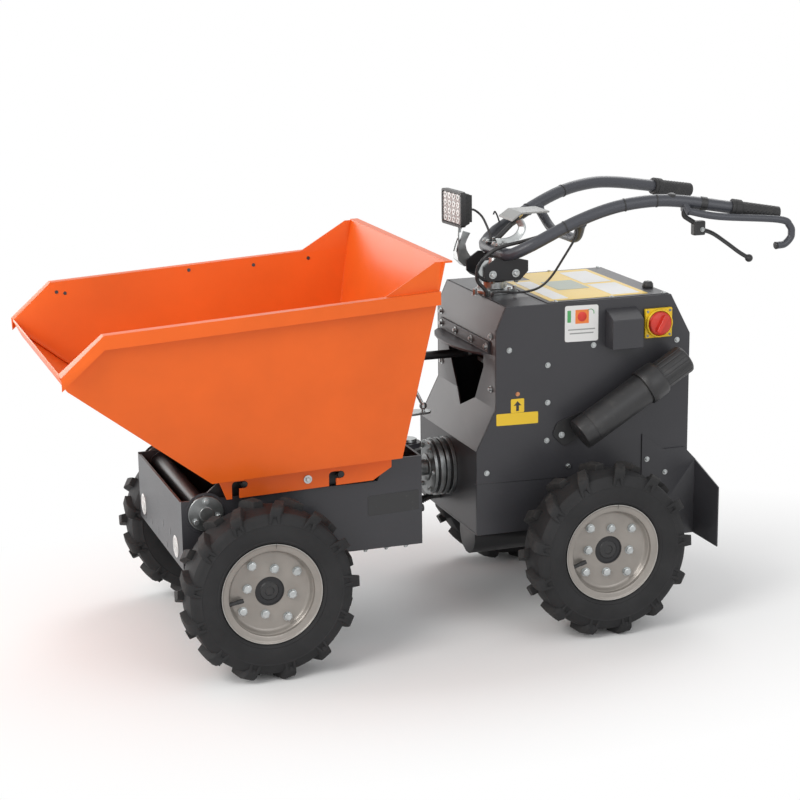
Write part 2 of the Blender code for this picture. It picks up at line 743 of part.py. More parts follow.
def make_front_frame():
    """Welded trough: two side plates, nose, tail and belly, with the kingpin's clevis."""
    side_outline = (
        (FRONT_NOSE_X, BELLY_Z), (FRONT_TAIL_X, BELLY_Z), (FRONT_TAIL_X, SIDE_HIGH_TOP_Z),
        (SIDE_STEP_X + SIDE_STEP_RUN, SIDE_HIGH_TOP_Z), (SIDE_STEP_X, SIDE_LOW_TOP_Z),
        (FRONT_NOSE_X, SIDE_LOW_TOP_Z))
    frame = plate("front_frame", side_outline, 0, 2 * FRONT_HALF_WIDTH, UPRIGHT_LENGTHWISE)
    inside = FRONT_HALF_WIDTH - FRONT_PLATE
    cut(frame, block("hollow_cut",
                     (FRONT_NOSE_X + FRONT_PLATE, -inside, BELLY_Z + FRONT_PLATE),
                     (FRONT_TAIL_X - FRONT_PLATE, inside, SIDE_HIGH_TOP_Z + OVERRUN)))
    cut(frame, block("nose_cut",
                     (FRONT_NOSE_X - OVERRUN, -inside, NOSE_TOP_Z),
                     (FRONT_NOSE_X + FRONT_PLATE + OVERRUN, inside, SIDE_HIGH_TOP_Z)))
    for low, high in ((BARREL_TOP_Z + CLEVIS_GAP, BARREL_TOP_Z + CLEVIS_GAP + CLEVIS_PLATE),
                      (BARREL_LOW_Z - CLEVIS_GAP - CLEVIS_PLATE, BARREL_LOW_Z - CLEVIS_GAP)):
        ear = plate("ear_join", (
            (FRONT_TAIL_X - FRONT_PLATE / 2, -CLEVIS_HALF_WIDTH),
            *arc((KINGPIN_X, 0), BARREL_RADIUS, -80, 80),
            (FRONT_TAIL_X - FRONT_PLATE / 2, CLEVIS_HALF_WIDTH)),
            (low + high) / 2, high - low, LEVEL)
        join(frame, ear)
    bore = KINGPIN_RADIUS + SEAT_GAP
    cut(frame, rod("kingpin_cut", (KINGPIN_X, 0, BARREL_LOW_Z - 2 * CLEVIS_PLATE - OVERRUN),
                   (KINGPIN_X, 0, BARREL_TOP_Z + 2 * CLEVIS_PLATE + OVERRUN), bore))
    cut(frame, rod("shaft_cut", (TIP_X, -FRONT_HALF_WIDTH - OVERRUN, TIP_Z),
                   (TIP_X, FRONT_HALF_WIDTH + OVERRUN, TIP_Z), TIP_SHAFT_RADIUS + SEAT_GAP))
    return finish(frame, "front_chassis", CHARCOAL)


def make_kingpin():
    low = BARREL_LOW_Z - CLEVIS_GAP - CLEVIS_PLATE
    high = BARREL_TOP_Z + CLEVIS_GAP + CLEVIS_PLATE + SEAT_GAP
    pin = rod("kingpin", (KINGPIN_X, 0, low), (KINGPIN_X, 0, high + KINGPIN_HEAD), KINGPIN_RADIUS)
    join(pin, rod("head_join", (KINGPIN_X, 0, high), (KINGPIN_X, 0, high + KINGPIN_HEAD),
                  KINGPIN_RADIUS + KINGPIN_HEAD))
    return finish(pin, "front_chassis", ZINC)


def make_swivel():
    """Barrel on the kingpin, its stub shaft, the hub and the stacked bearing discs."""
    swivel = rod("swivel_hub", (KINGPIN_X, 0, BARREL_LOW_Z), (KINGPIN_X, 0, BARREL_TOP_Z),
                 BARREL_RADIUS)
    back = REAR_TOE_X - SEAT_GAP
    join(swivel, rod("stub_join", (KINGPIN_X + KINGPIN_RADIUS + SEAT_GAP + RIM_WALL, 0, SWIVEL_Z),
                     (back, 0, SWIVEL_Z), STUB_RADIUS))
    join(swivel, rod("hub_join", (SWIVEL_HUB_X, 0, SWIVEL_Z), (back, 0, SWIVEL_Z),
                     SWIVEL_HUB_RADIUS))
    join(swivel, rod("neck_join", (SWIVEL_DISC_X, 0, SWIVEL_Z), (back, 0, SWIVEL_Z),
                     SWIVEL_NECK_RADIUS))
    disc_step = (back - SWIVEL_DISC_X - SWIVEL_DISC_WIDTH) / 2
    for index in range(3):
        front = SWIVEL_DISC_X + index * disc_step
        join(swivel, rod("disc_join", (front, 0, SWIVEL_Z), (front + SWIVEL_DISC_WIDTH, 0, SWIVEL_Z),
                         SWIVEL_DISC_RADIUS))
    cut(swivel, rod("pin_cut", (KINGPIN_X, 0, BARREL_LOW_Z - OVERRUN),
                    (KINGPIN_X, 0, BARREL_TOP_Z + OVERRUN), KINGPIN_RADIUS + SEAT_GAP))
    return finish(swivel, "rear_chassis", ZINC)


def make_axle(name, body, x, belly_z, half_width, saddle_length):
    """Transaxle: tubes to the hub flanges, a gearbox, its motor and two saddles."""
    inner_face = WHEEL_FACE_Y - RIM_INSET - DISC_DEPTH - RIM_WALL - SEAT_GAP
    axle = rod(name, (x, -inner_face, FRONT_AXLE_Z), (x, inner_face, FRONT_AXLE_Z),
               AXLE_TUBE_RADIUS)
    for side in (-1, 1):
        join(axle, rod("flange_join", (x, side * (inner_face - HUB_FLANGE_WIDTH), FRONT_AXLE_Z),
                       (x, side * inner_face, FRONT_AXLE_Z), HUB_FLANGE_RADIUS))
        middle = side * (half_width - AXLE_SADDLE_WIDTH)
        join(axle, plate("saddle_join", (
            (x - saddle_length / 2, belly_z - SEAT_GAP), (x - AXLE_TUBE_RADIUS / 2, FRONT_AXLE_Z),
            (x + AXLE_TUBE_RADIUS / 2, FRONT_AXLE_Z), (x + saddle_length / 2, belly_z - SEAT_GAP)),
            middle, AXLE_SADDLE_WIDTH, UPRIGHT_LENGTHWISE))
    return axle


def make_front_axle():
    axle = make_axle("front_axle", "front_chassis", 0, BELLY_Z, FRONT_HALF_WIDTH,
                     FRONT_SADDLE_LENGTH)
    join(axle, rod("gearbox_join", (0, -GEARBOX_WIDTH / 2, FRONT_AXLE_Z - GEARBOX_RADIUS / 2),
                   (0, GEARBOX_WIDTH / 2, FRONT_AXLE_Z - GEARBOX_RADIUS / 2), GEARBOX_RADIUS))
    motor_z = BELLY_Z - MOTOR_RADIUS - 2 * SEAT_GAP
    join(axle, rod("motor_join", (0, 0, motor_z), (GEARBOX_RADIUS + MOTOR_LENGTH, 0, motor_z),
                   MOTOR_RADIUS, sides=FINE_ROUND))
    return finish(axle, "front_chassis", BLACK_STEEL)


def make_rear_axle():
    axle = make_axle("rear_axle", "rear_chassis", WHEEL_BASE, REAR_BELLY_Z, REAR_HALF_WIDTH,
                     AXLE_SADDLE_LENGTH)
    join(axle, rod("gearbox_join",
                   (WHEEL_BASE, -GEARBOX_WIDTH / 2, FRONT_AXLE_Z - GEARBOX_RADIUS),
                   (WHEEL_BASE, GEARBOX_WIDTH / 2, FRONT_AXLE_Z - GEARBOX_RADIUS),
                   GEARBOX_RADIUS - RIM_WALL))
    motor_z = REAR_BELLY_Z - MOTOR_RADIUS - 2 * SEAT_GAP
    join(axle, rod("motor_join", (WHEEL_BASE - GEARBOX_RADIUS - MOTOR_LENGTH, 0, motor_z),
                   (WHEEL_BASE, 0, motor_z), MOTOR_RADIUS, sides=FINE_ROUND))
    return finish(axle, "rear_chassis", BLACK_STEEL)


def tread_rings():
    """Rows of the tyre's skin as (across, radius), from one bead over the tread to the other."""
    half = TYRE_WIDTH / 2
    base = TYRE_RADIUS - LUG_HEIGHT
    bead = RIM_SEAT_RADIUS + SEAT_GAP
    one_side = (
        (half * BEAD_SHARE, bead),
        (half * BEAD_SHARE, RIM_RADIUS + SEAT_GAP),
        (half, bead + (base - bead) * WALL_SHARE),
        (half * SHOULDER_SHARE, base - TREAD_DROP),
        (0, base))
    left = [(-across, radius) for across, radius in one_side]
    return left + [(across, radius) for across, radius in one_side[-2::-1]]


def make_tyre(name, body, centre):
    """Agricultural tyre: a skewed grid of skin whose lug patches are raised."""
    rings = tread_rings()
    steps = LUG_COUNT * 4
    middle = len(rings) // 2
    shape = bmesh.new()
    grid = []
    for row, (across, radius) in enumerate(rings):
        reach = 1 - abs(row - middle) / middle
        skew = LUG_SKEW_SHARE * 2 * max(0, reach - LUG_ROOT_SHARE)
        ring = []
        for step in range(steps):
            angle = 2 * pi * (step + skew) / steps
            ring.append(shape.verts.new((radius * cos(angle), across, radius * sin(angle))))
        grid.append(ring)
    lugs = []
    for row in range(len(rings)):
        next_row = (row + 1) % len(rings)
        for step in range(steps):
            after = (step + 1) % steps
            face = shape.faces.new((grid[row][step], grid[row][after],
                                    grid[next_row][after], grid[next_row][step]))
            left = 2 <= row < middle and step % 4 == 0
            right = middle <= row < len(rings) - 3 and step % 4 == 2
            if left or right:
                lugs.append(face)
    bmesh.ops.recalc_face_normals(shape, faces=shape.faces)
    raised = bmesh.ops.extrude_face_region(shape, geom=lugs)
    tops = [item for item in raised["geom"] if isinstance(item, bmesh.types.BMVert)]
    for vert in tops:
        radius = hypot(vert.co.x, vert.co.z)
        on_wall = radius < TYRE_RADIUS - LUG_HEIGHT - 2 * TREAD_DROP
        lift = (radius + LUG_HEIGHT / 3 if on_wall else TYRE_RADIUS) / radius
        vert.co.x *= lift
        vert.co.z *= lift
    bmesh.ops.delete(shape, geom=lugs, context="FACES")
    bmesh.ops.recalc_face_normals(shape, faces=shape.faces)
    mesh = bpy.data.meshes.new(name)
    shape.to_mesh(mesh)
    shape.free()
    obj = new_object(name, mesh)
    obj.location = centre
    return finish(obj, body, RUBBER)


def make_rim(name, body, centre, outward):
    """Pressed rim: two flanges, a stepped barrel and a dished centre with its hub hole."""
    half = TYRE_WIDTH / 2
    seat_half = half * BEAD_SHARE
    flange_out = seat_half + RIM_WALL
    face = flange_out - DISC_DEPTH
    profile = (
        (HUB_HOLE_RADIUS, face), (RIM_SEAT_RADIUS - 2 * RIM_STEP, face),
        (RIM_SEAT_RADIUS - RIM_WALL, flange_out - RIM_STEP), (RIM_SEAT_RADIUS, flange_out),
        (RIM_RADIUS, flange_out), (RIM_RADIUS, seat_half + SEAT_GAP),
        (RIM_SEAT_RADIUS, seat_half + SEAT_GAP), (RIM_SEAT_RADIUS, -seat_half - SEAT_GAP),
        (RIM_RADIUS, -seat_half - SEAT_GAP), (RIM_RADIUS, -flange_out),
        (RIM_SEAT_RADIUS, -flange_out), (RIM_SEAT_RADIUS - RIM_WALL, -flange_out + RIM_STEP),
        (RIM_SEAT_RADIUS - 2 * RIM_STEP, face - RIM_WALL - RIM_STEP),
        (RIM_SEAT_RADIUS - 2 * RIM_STEP, face - RIM_WALL), (HUB_HOLE_RADIUS, face - RIM_WALL))
    rim = turned(name, profile, ROUND, centre, outward)
    return finish(rim, body, RIM_GREY)


def make_hub_cap(name, body, centre, outward):
    """Black bearing cap that fills the hub hole, on the axle's flange side of the wheel."""
    half = TYRE_WIDTH / 2
    face = half * BEAD_SHARE + RIM_WALL - DISC_DEPTH
    start = Vector(centre) + Vector((0, outward * (face - RIM_WALL), 0))
    stop = Vector(centre) + Vector((0, outward * (face + HUB_CAP_PROUD), 0))
    cap = rod(name, start, stop, HUB_HOLE_RADIUS - 2 * SEAT_GAP, HUB_CAP_RADIUS, FINE_ROUND)
    return finish(cap, body, BLACK)


def make_wheels():
    middle_y = WHEEL_FACE_Y - RIM_INSET - TYRE_WIDTH * BEAD_SHARE / 2 - RIM_WALL
    for end, x in (("front", 0), ("rear", WHEEL_BASE)):
        for label, side in (("left", -1), ("right", 1)):
            body = f"{end}_{label}_wheel"
            centre = (x, side * middle_y, FRONT_AXLE_Z)
            make_tyre(f"{end}_{label}_tyre", body, centre)
            make_rim(f"{end}_{label}_rim", body, centre, side)
            make_hub_cap(f"{end}_{label}_hub_cap", body, centre, side)


def rear_outline(inset=0.0):
    """Side view of the rear box, drawn in by a wall's thickness where asked."""
    return (
        (REAR_TOE_X + inset, REAR_BELLY_Z + inset), (REAR_BACK_X - inset, REAR_BELLY_Z + inset),
        (REAR_BACK_X - inset, REAR_BACK_TOP_Z), (REAR_DECK_REAR_X - inset, REAR_DECK_Z - inset),
        (REAR_DECK_FRONT_X + inset, REAR_DECK_Z - inset), (REAR_FACE_X + inset, REAR_FACE_TOP_Z),
        (REAR_FACE_X + inset, REAR_FACE_LOW_Z), (REAR_TOE_X + inset, REAR_TOE_TOP_Z))


def make_rear_sides():
    for label, side in (("left", -1), ("right", 1)):
        skin = plate("rear_side_" + label, rear_outline(), side * (REAR_HALF_WIDTH - REAR_PLATE / 2),
                     REAR_PLATE, UPRIGHT_LENGTHWISE)
        finish(skin, "rear_chassis", CHARCOAL)


def folded_panel(name, line, half_width):
    """A sheet folded along a side-view line, inside which it has its thickness."""
    shape = bmesh.new()
    rows = [[shape.verts.new((x, side * half_width, z)) for x, z in line] for side in (-1, 1)]
    for index in range(len(line) - 1):
        shape.faces.new((rows[0][index], rows[0][index + 1], rows[1][index + 1], rows[1][index]))
    mesh = bpy.data.meshes.new(name)
    shape.to_mesh(mesh)
    shape.free()
    panel = new_object(name, mesh)
    sheet = panel.modifiers.new("sheet", "SOLIDIFY")
    sheet.thickness = REAR_PLATE
    sheet.offset = -1
    sheet.use_even_offset = True
    return panel


def make_rear_panels():
    inside = REAR_HALF_WIDTH - REAR_PLATE - SEAT_GAP
    face = folded_panel("rear_face_panel", (
        (REAR_TOE_X, REAR_BELLY_Z + REAR_PLATE + SEAT_GAP), (REAR_TOE_X, REAR_TOE_TOP_Z),
        (REAR_FACE_X, REAR_FACE_LOW_Z), (REAR_FACE_X, REAR_FACE_TOP_Z),
        (REAR_DECK_FRONT_X - SEAT_GAP, REAR_DECK_Z - SEAT_GAP)), inside)
    cut(face, plate("opening_cut", (
        (-OPENING_HALF_WIDTH, OPENING_TOP_Z), (-OPENING_HALF_WIDTH, OPENING_LOW_Z + OPENING_HALF_WIDTH),
        (-OPENING_NOTCH_HALF_WIDTH, OPENING_LOW_Z + OPENING_NOTCH_HALF_WIDTH / 2),
        (0, OPENING_LOW_Z),
        (OPENING_NOTCH_HALF_WIDTH, OPENING_LOW_Z + OPENING_NOTCH_HALF_WIDTH / 2),
        (OPENING_HALF_WIDTH, OPENING_LOW_Z + OPENING_HALF_WIDTH), (OPENING_HALF_WIDTH, OPENING_TOP_Z)),
        REAR_FACE_X, 8 * OVERRUN, UPRIGHT_CROSSWISE))
    finish(face, "rear_chassis", CHARCOAL)

    deck = block("top_deck", (REAR_DECK_FRONT_X + REAR_PLATE, -inside, REAR_DECK_Z - REAR_PLATE),
                 (LID_FRONT_X - SEAT_GAP, inside, REAR_DECK_Z))
    cut(deck, rod("column_cut", (COLUMN_X, 0, REAR_DECK_Z - OVERRUN),
                  (COLUMN_X, 0, REAR_DECK_Z + OVERRUN), COLUMN_HOUSING_RADIUS + SEAT_GAP))
    finish(deck, "rear_chassis", CHARCOAL)

    lid = block("battery_lid", (LID_FRONT_X, -inside, REAR_DECK_Z - REAR_PLATE),
                (REAR_DECK_REAR_X - REAR_PLATE, inside, REAR_DECK_Z + LID_LIP))
    finish(lid, "rear_chassis", CHARCOAL)

    back = folded_panel("rear_back_panel", (
        (REAR_DECK_REAR_X + SEAT_GAP, REAR_DECK_Z - SEAT_GAP), (REAR_BACK_X, REAR_BACK_TOP_Z),
        (REAR_BACK_X, REAR_BELLY_Z + REAR_PLATE + SEAT_GAP)), inside)
    for index in range(BACK_GRILLE_COUNT):
        z = BACK_GRILLE_Z + (index - (BACK_GRILLE_COUNT - 1) / 2) * BACK_GRILLE_PITCH
        cut(back, plate("grille_cut",
                        capsule((-BACK_GRILLE_HALF_WIDTH, z), (BACK_GRILLE_HALF_WIDTH, z),
                                BACK_GRILLE_SLOT / 2),
                        REAR_BACK_X, 2 * OVERRUN, UPRIGHT_CROSSWISE))
    finish(back, "rear_chassis", CHARCOAL)

    floor = block("rear_floor", (REAR_TOE_X, -inside, REAR_BELLY_Z),
                  (REAR_BACK_X, inside, REAR_BELLY_Z + REAR_PLATE))
    finish(floor, "rear_chassis", CHARCOAL)


def make_battery():
    """The heavy mass inside: one plain block on its bed."""
    x = (LID_FRONT_X + REAR_DECK_REAR_X) / 2
    battery = block("battery_pack", (x - BATTERY_LENGTH / 2, -BATTERY_WIDTH / 2, BATTERY_BED_Z),
                    (x + BATTERY_LENGTH / 2, BATTERY_WIDTH / 2, BATTERY_BED_Z + BATTERY_HEIGHT))
    finish(battery, "rear_chassis", BLACK)
    inside = REAR_HALF_WIDTH - REAR_PLATE - SEAT_GAP
    bed = block("battery_bed", (x - BATTERY_LENGTH / 2 - OVERRUN, -inside,
                                BATTERY_BED_Z - REAR_PLATE - SEAT_GAP),
                (x + BATTERY_LENGTH / 2 + OVERRUN, inside, BATTERY_BED_Z - SEAT_GAP))
    finish(bed, "rear_chassis", BLACK_STEEL)


def make_swing_guard():
    """Half-round shelf over the opening, with the folded tab that is bolted to the box."""
    sweep = atan2(GUARD_REACH, GUARD_RADIUS) * 180 / pi
    outer = [(REAR_FACE_X - SEAT_GAP - GUARD_REACH * sin(radians(180 * step / CURVE_STEPS / 2)),
              GUARD_RADIUS * cos(radians(180 * step / CURVE_STEPS / 2)))
             for step in range(2 * CURVE_STEPS + 1)]
    shelf = plate("swing_guard", outer, GUARD_Z, GUARD_PLATE, LEVEL)
    tab = block("tab_join", (REAR_FACE_X - SEAT_GAP - GUARD_PLATE, -GUARD_RADIUS, GUARD_Z),
                (REAR_FACE_X - SEAT_GAP, GUARD_RADIUS, GUARD_Z + GUARD_TAB))
    join(shelf, tab)
    return finish(shelf, "rear_chassis", CHARCOAL)


def make_canister():
    """Document tube held slantwise off the left side by its bracket."""
    y = -(REAR_HALF_WIDTH + CANISTER_STANDOFF + CANISTER_RADIUS)
    low = Vector((CANISTER_LOW_X, y, CANISTER_LOW_Z))
    high = Vector((CANISTER_HIGH_X, y, CANISTER_HIGH_Z))
    along = (high - low).normalized()
    ring_low, ring_high = [low.lerp(high, share) for share in CANISTER_RING_SHARES]
    canister = rod("document_canister", low, ring_low.lerp(ring_high, 0.5), CANISTER_RADIUS,
                   sides=FINE_ROUND)
    join(canister, rod("ring_join", ring_low, ring_high, CANISTER_RING_RADIUS, sides=FINE_ROUND))
    join(canister, rod("cap_join", ring_low.lerp(ring_high, 0.75), high, CANISTER_CAP_RADIUS,
                       sides=FINE_ROUND))
    foot = -(REAR_HALF_WIDTH + SEAT_GAP)
    for share in CANISTER_TAB_SHARES:
        place = low.lerp(high, share)
        join(canister, block("saddle_join",
                             (place.x - CANISTER_STANDOFF, y, place.z - CANISTER_STANDOFF),
                             (place.x + CANISTER_STANDOFF, foot, place.z + CANISTER_STANDOFF)))
    tab = plate("tab_join", capsule((low.x + along.x * CANISTER_TAB, low.z + along.z * CANISTER_TAB),
                                    (low.x - along.x * CANISTER_TAB / 2,
                                     low.z - along.z * CANISTER_TAB / 2), CANISTER_TAB / 3),
                foot - CANISTER_TAB_PLATE / 2, CANISTER_TAB_PLATE, UPRIGHT_LENGTHWISE)
    join(canister, tab)
    return finish(canister, "rear_chassis", BLACK)


def make_isolator():
    """Battery isolator: square plate with its raised ring, and the turning knob on it."""
    face = -(REAR_HALF_WIDTH + SEAT_GAP)
    base = block("isolator_plate",
                 (ISOLATOR_X - ISOLATOR_HALF, face - ISOLATOR_DEPTH, ISOLATOR_Z - ISOLATOR_HALF),
                 (ISOLATOR_X + ISOLATOR_HALF, face, ISOLATOR_Z + ISOLATOR_HALF))
    bevel = base.modifiers.new("edges", "BEVEL")
    bevel.width = ISOLATOR_DEPTH / 3
    bevel.segments = 2
    finish(base, "rear_chassis", YELLOW)
    front = face - ISOLATOR_DEPTH - SEAT_GAP
    knob = rod("isolator_knob", (ISOLATOR_X, front, ISOLATOR_Z),
               (ISOLATOR_X, front - ISOLATOR_KNOB_DEPTH / 2, ISOLATOR_Z),
               ISOLATOR_BEZEL_RADIUS - RIM_WALL, ISOLATOR_KNOB_RADIUS, FINE_ROUND)
    join(knob, block("grip_join",
                     (ISOLATOR_X - ISOLATOR_GRIP / 2, front - ISOLATOR_KNOB_DEPTH,
                      ISOLATOR_Z - ISOLATOR_KNOB_RADIUS + RIM_WALL),
                     (ISOLATOR_X + ISOLATOR_GRIP / 2, front - ISOLATOR_KNOB_DEPTH / 4,
                      ISOLATOR_Z + ISOLATOR_KNOB_RADIUS - RIM_WALL)))
    finish(knob, "rear_chassis", RED)


def make_socket_housing():
    """Charging socket's housing on the left side, with its sloping top."""
    face = -(REAR_HALF_WIDTH + SEAT_GAP)
    outline = (
        (face, HOUSING_LOW_Z), (face, HOUSING_TOP_Z),
        (face - HOUSING_DEPTH, HOUSING_TOP_Z - HOUSING_SLOPE), (face - HOUSING_DEPTH, HOUSING_LOW_Z))
    housing = plate("socket_housing", outline, HOUSING_X, 2 * HOUSING_HALF_WIDTH, UPRIGHT_CROSSWISE)
    return finish(housing, "rear_chassis", CHARCOAL)


def make_mudguard(side, label):
    """Folded flap behind the tyre, bolted to the side, its top stepping down to the outer end."""
    skin = side * (REAR_HALF_WIDTH + SEAT_GAP)
    plan = (
        (MUDGUARD_X - MUDGUARD_SIDE_LENGTH, skin), (MUDGUARD_X, skin),
        (MUDGUARD_X, side * MUDGUARD_OUT_Y), (MUDGUARD_X - MUDGUARD_PLATE, side * MUDGUARD_OUT_Y),
        (MUDGUARD_X - MUDGUARD_PLATE, skin + side * MUDGUARD_PLATE),
        (MUDGUARD_X - MUDGUARD_SIDE_LENGTH, skin + side * MUDGUARD_PLATE))
    guard = plate("mudguard_" + label, plan, (MUDGUARD_TOP_Z + MUDGUARD_LOW_Z) / 2,
                  MUDGUARD_TOP_Z - MUDGUARD_LOW_Z, LEVEL)
    front_x = MUDGUARD_X - MUDGUARD_SIDE_LENGTH
    step_x, shoulder_x = [front_x + share * MUDGUARD_SIDE_LENGTH for share in MUDGUARD_STEP_SHARES]
    fall = (MUDGUARD_STEP_Z - MUDGUARD_FOLD_Z) / (MUDGUARD_X - shoulder_x)
    steps = plate("steps_cut", (
        (front_x, MUDGUARD_TOP_Z), (step_x, MUDGUARD_STEP_Z), (shoulder_x, MUDGUARD_STEP_Z),
        (MUDGUARD_X + OVERRUN, MUDGUARD_FOLD_Z - fall * OVERRUN),
        (MUDGUARD_X + OVERRUN, MUDGUARD_TOP_Z + OVERRUN), (front_x, MUDGUARD_TOP_Z + OVERRUN)),
        side * REAR_HALF_WIDTH, 4 * MUDGUARD_PLATE, UPRIGHT_LENGTHWISE)
    fold_y = REAR_HALF_WIDTH + MUDGUARD_PLATE
    fall = (MUDGUARD_FOLD_Z - MUDGUARD_OUT_TOP_Z) / (MUDGUARD_OUT_Y - fold_y)
    slope = plate("slope_cut", (
        (side * fold_y, MUDGUARD_FOLD_Z),
        (side * (MUDGUARD_OUT_Y + OVERRUN), MUDGUARD_OUT_TOP_Z - fall * OVERRUN),
        (side * (MUDGUARD_OUT_Y + OVERRUN), MUDGUARD_TOP_Z + OVERRUN),
        (side * fold_y, MUDGUARD_TOP_Z + OVERRUN)),
        MUDGUARD_X, 3 * MUDGUARD_PLATE, UPRIGHT_CROSSWISE)
    cut(guard, steps)
    cut(guard, slope)
    return finish(guard, "rear_chassis", CHARCOAL)


def make_conduit():
    """Corrugated conduit that carries the front motor's leads across the joint."""
    start = FRONT_TAIL_X + SEAT_GAP
    end = REAR_TOE_X - SEAT_GAP
    places = [(start, CONDUIT_Y, CONDUIT_Z)]
    for step in range(1, CONDUIT_STEPS):
        share = step / CONDUIT_STEPS
        x = start + CONDUIT_COLLAR + (end - start - 2 * CONDUIT_COLLAR) * share
        places.append((x, CONDUIT_Y, CONDUIT_Z - CONDUIT_SAG * sin(pi * share) ** 2))
    places.append((end, CONDUIT_Y, CONDUIT_Z))
    places.insert(1, (start + CONDUIT_COLLAR, CONDUIT_Y, CONDUIT_Z))
    places.insert(-1, (end - CONDUIT_COLLAR, CONDUIT_Y, CONDUIT_Z))
    return finish(tube("motor_conduit", places, CONDUIT_RADIUS, 2, smooth=False), "rear_chassis", BLACK)


def make_column():
    """Bearing housing on the deck, and the column with its steering arm in the box."""
    housing = rod("column_housing", (COLUMN_X, 0, REAR_DECK_Z - 4 * OVERRUN),
                  (COLUMN_X, 0, COLUMN_HOUSING_TOP_Z), COLUMN_HOUSING_RADIUS)
    flange_low = REAR_DECK_Z + SEAT_GAP
    join(housing, rod("flange_join", (COLUMN_X, 0, flange_low),
                      (COLUMN_X, 0, flange_low + COLUMN_FLANGE_WIDTH), COLUMN_FLANGE_RADIUS))
    cut(housing, rod("column_cut", (COLUMN_X, 0, REAR_DECK_Z - 6 * OVERRUN),
                     (COLUMN_X, 0, COLUMN_TOP_Z), COLUMN_RADIUS + SEAT_GAP))
    finish(housing, "rear_chassis", ZINC)

    column = rod("steering_column", (COLUMN_X, 0, COLUMN_LOW_Z), (COLUMN_X, 0, COLUMN_TOP_Z),
                 COLUMN_RADIUS)
    arm_low = DRAG_LINK_Z - DRAG_EYE_HEIGHT / 2 - CLEVIS_GAP / 5 - STEER_ARM_PLATE
    arm = plate("arm_join", capsule((COLUMN_X, 0), (COLUMN_X, STEER_ARM), STEER_ARM_HALF_WIDTH),
                arm_low + STEER_ARM_PLATE / 2, STEER_ARM_PLATE, LEVEL)
    join(column, arm)
    join(column, rod("pin_join", (COLUMN_X, STEER_ARM, arm_low + STEER_ARM_PLATE / 2),
                     (COLUMN_X, STEER_ARM, DRAG_LINK_Z + DRAG_EYE_HEIGHT / 2), DRAG_PIN_RADIUS,
                     sides=SMALL_ROUND))
    finish(column, "handlebar", ZINC)


def make_drag_link():
    """Thick link from the mast's arm to the column's arm, an eye at each end."""
    link = rod("drag_link", (KINGPIN_X, STEER_ARM, DRAG_LINK_Z), (COLUMN_X, STEER_ARM, DRAG_LINK_Z),
               DRAG_LINK_RADIUS, sides=SMALL_ROUND)
    for x in (KINGPIN_X, COLUMN_X):
        join(link, rod("eye_join", (x, STEER_ARM, DRAG_LINK_Z - DRAG_EYE_HEIGHT / 2),
                       (x, STEER_ARM, DRAG_LINK_Z + DRAG_EYE_HEIGHT / 2), DRAG_EYE_RADIUS,
                       sides=FINE_ROUND))
    for x in (KINGPIN_X, COLUMN_X):
        cut(link, rod("eye_cut", (x, STEER_ARM, DRAG_LINK_Z - DRAG_EYE_HEIGHT),
                      (x, STEER_ARM, DRAG_LINK_Z + DRAG_EYE_HEIGHT),
                      DRAG_PIN_RADIUS + DRAG_PIN_CLEARANCE, sides=FINE_ROUND))
    return finish(link, "drag_link", BLACK_STEEL)


def make_mast():
    """Upright behind the skip that carries the drag link's front pin and the brace's tab."""
    low = BARREL_TOP_Z + CLEVIS_GAP + CLEVIS_PLATE + SEAT_GAP
    arm_low = DRAG_LINK_Z - DRAG_EYE_HEIGHT / 2 - CLEVIS_GAP / 5 - STEER_ARM_PLATE
    arm_top = arm_low + STEER_ARM_PLATE
    front = FRONT_TAIL_X + SEAT_GAP
    mast = plate("steering_mast", (
        (-MAST_HALF_WIDTH, low), (MAST_HALF_WIDTH, low),
        (STEER_ARM + STEER_ARM_HALF_WIDTH, arm_top), (-MAST_TOP_HALF_WIDTH, arm_top)),
        front + MAST_PLATE / 2, MAST_PLATE, UPRIGHT_CROSSWISE)
    root = front + MAST_PLATE / 2
    arm = plate("arm_join", (
        (root, -MAST_TOP_HALF_WIDTH * ARM_ROOT_SHARE),
        (root + MAST_PLATE, -MAST_TOP_HALF_WIDTH * ARM_ROOT_SHARE),
        *arc((KINGPIN_X, STEER_ARM), STEER_ARM_HALF_WIDTH, -90, 90),
        (root, STEER_ARM + STEER_ARM_HALF_WIDTH * ARM_ROOT_SHARE)),
        (arm_low + arm_top) / 2, STEER_ARM_PLATE, LEVEL)
    join(mast, arm)
    join(mast, rod("pin_join", (KINGPIN_X, STEER_ARM, arm_low + STEER_ARM_PLATE / 2),
                   (KINGPIN_X, STEER_ARM, DRAG_LINK_Z + DRAG_EYE_HEIGHT / 2), DRAG_PIN_RADIUS,
                   sides=SMALL_ROUND))
    tab_z = BRACE_FOOT_Z - BRACE_BALL_RADIUS - BRACE_TAB_PLATE
    tab = plate("tab_join", (
        (root, -MAST_TOP_HALF_WIDTH),
        *arc((BRACE_FOOT_X, 0), STEER_ARM_HALF_WIDTH, -80, 80, CURVE_STEPS),
        (root, MAST_TOP_HALF_WIDTH)), tab_z, BRACE_TAB_PLATE, LEVEL)
    join(mast, tab)
    ball_at = (BRACE_FOOT_X, 0, BRACE_FOOT_Z)
    join(mast, rod("stud_join", (BRACE_FOOT_X, 0, tab_z), ball_at, BRACE_STUD_RADIUS,
                   sides=SMALL_ROUND))
    join(mast, ball("ball_join", ball_at, BRACE_BALL_RADIUS))
    join(mast, rod("rod_join", ball_at, (KINGPIN_X, MAST_TOP_HALF_WIDTH, arm_low + STEER_ARM_PLATE / 2),
                   BRACE_ROD_RADIUS, sides=SMALL_ROUND))
    return finish(mast, "front_chassis", ZINC)


def mirrored(places):
    return tuple((x, -y, z) for x, y, z in places)


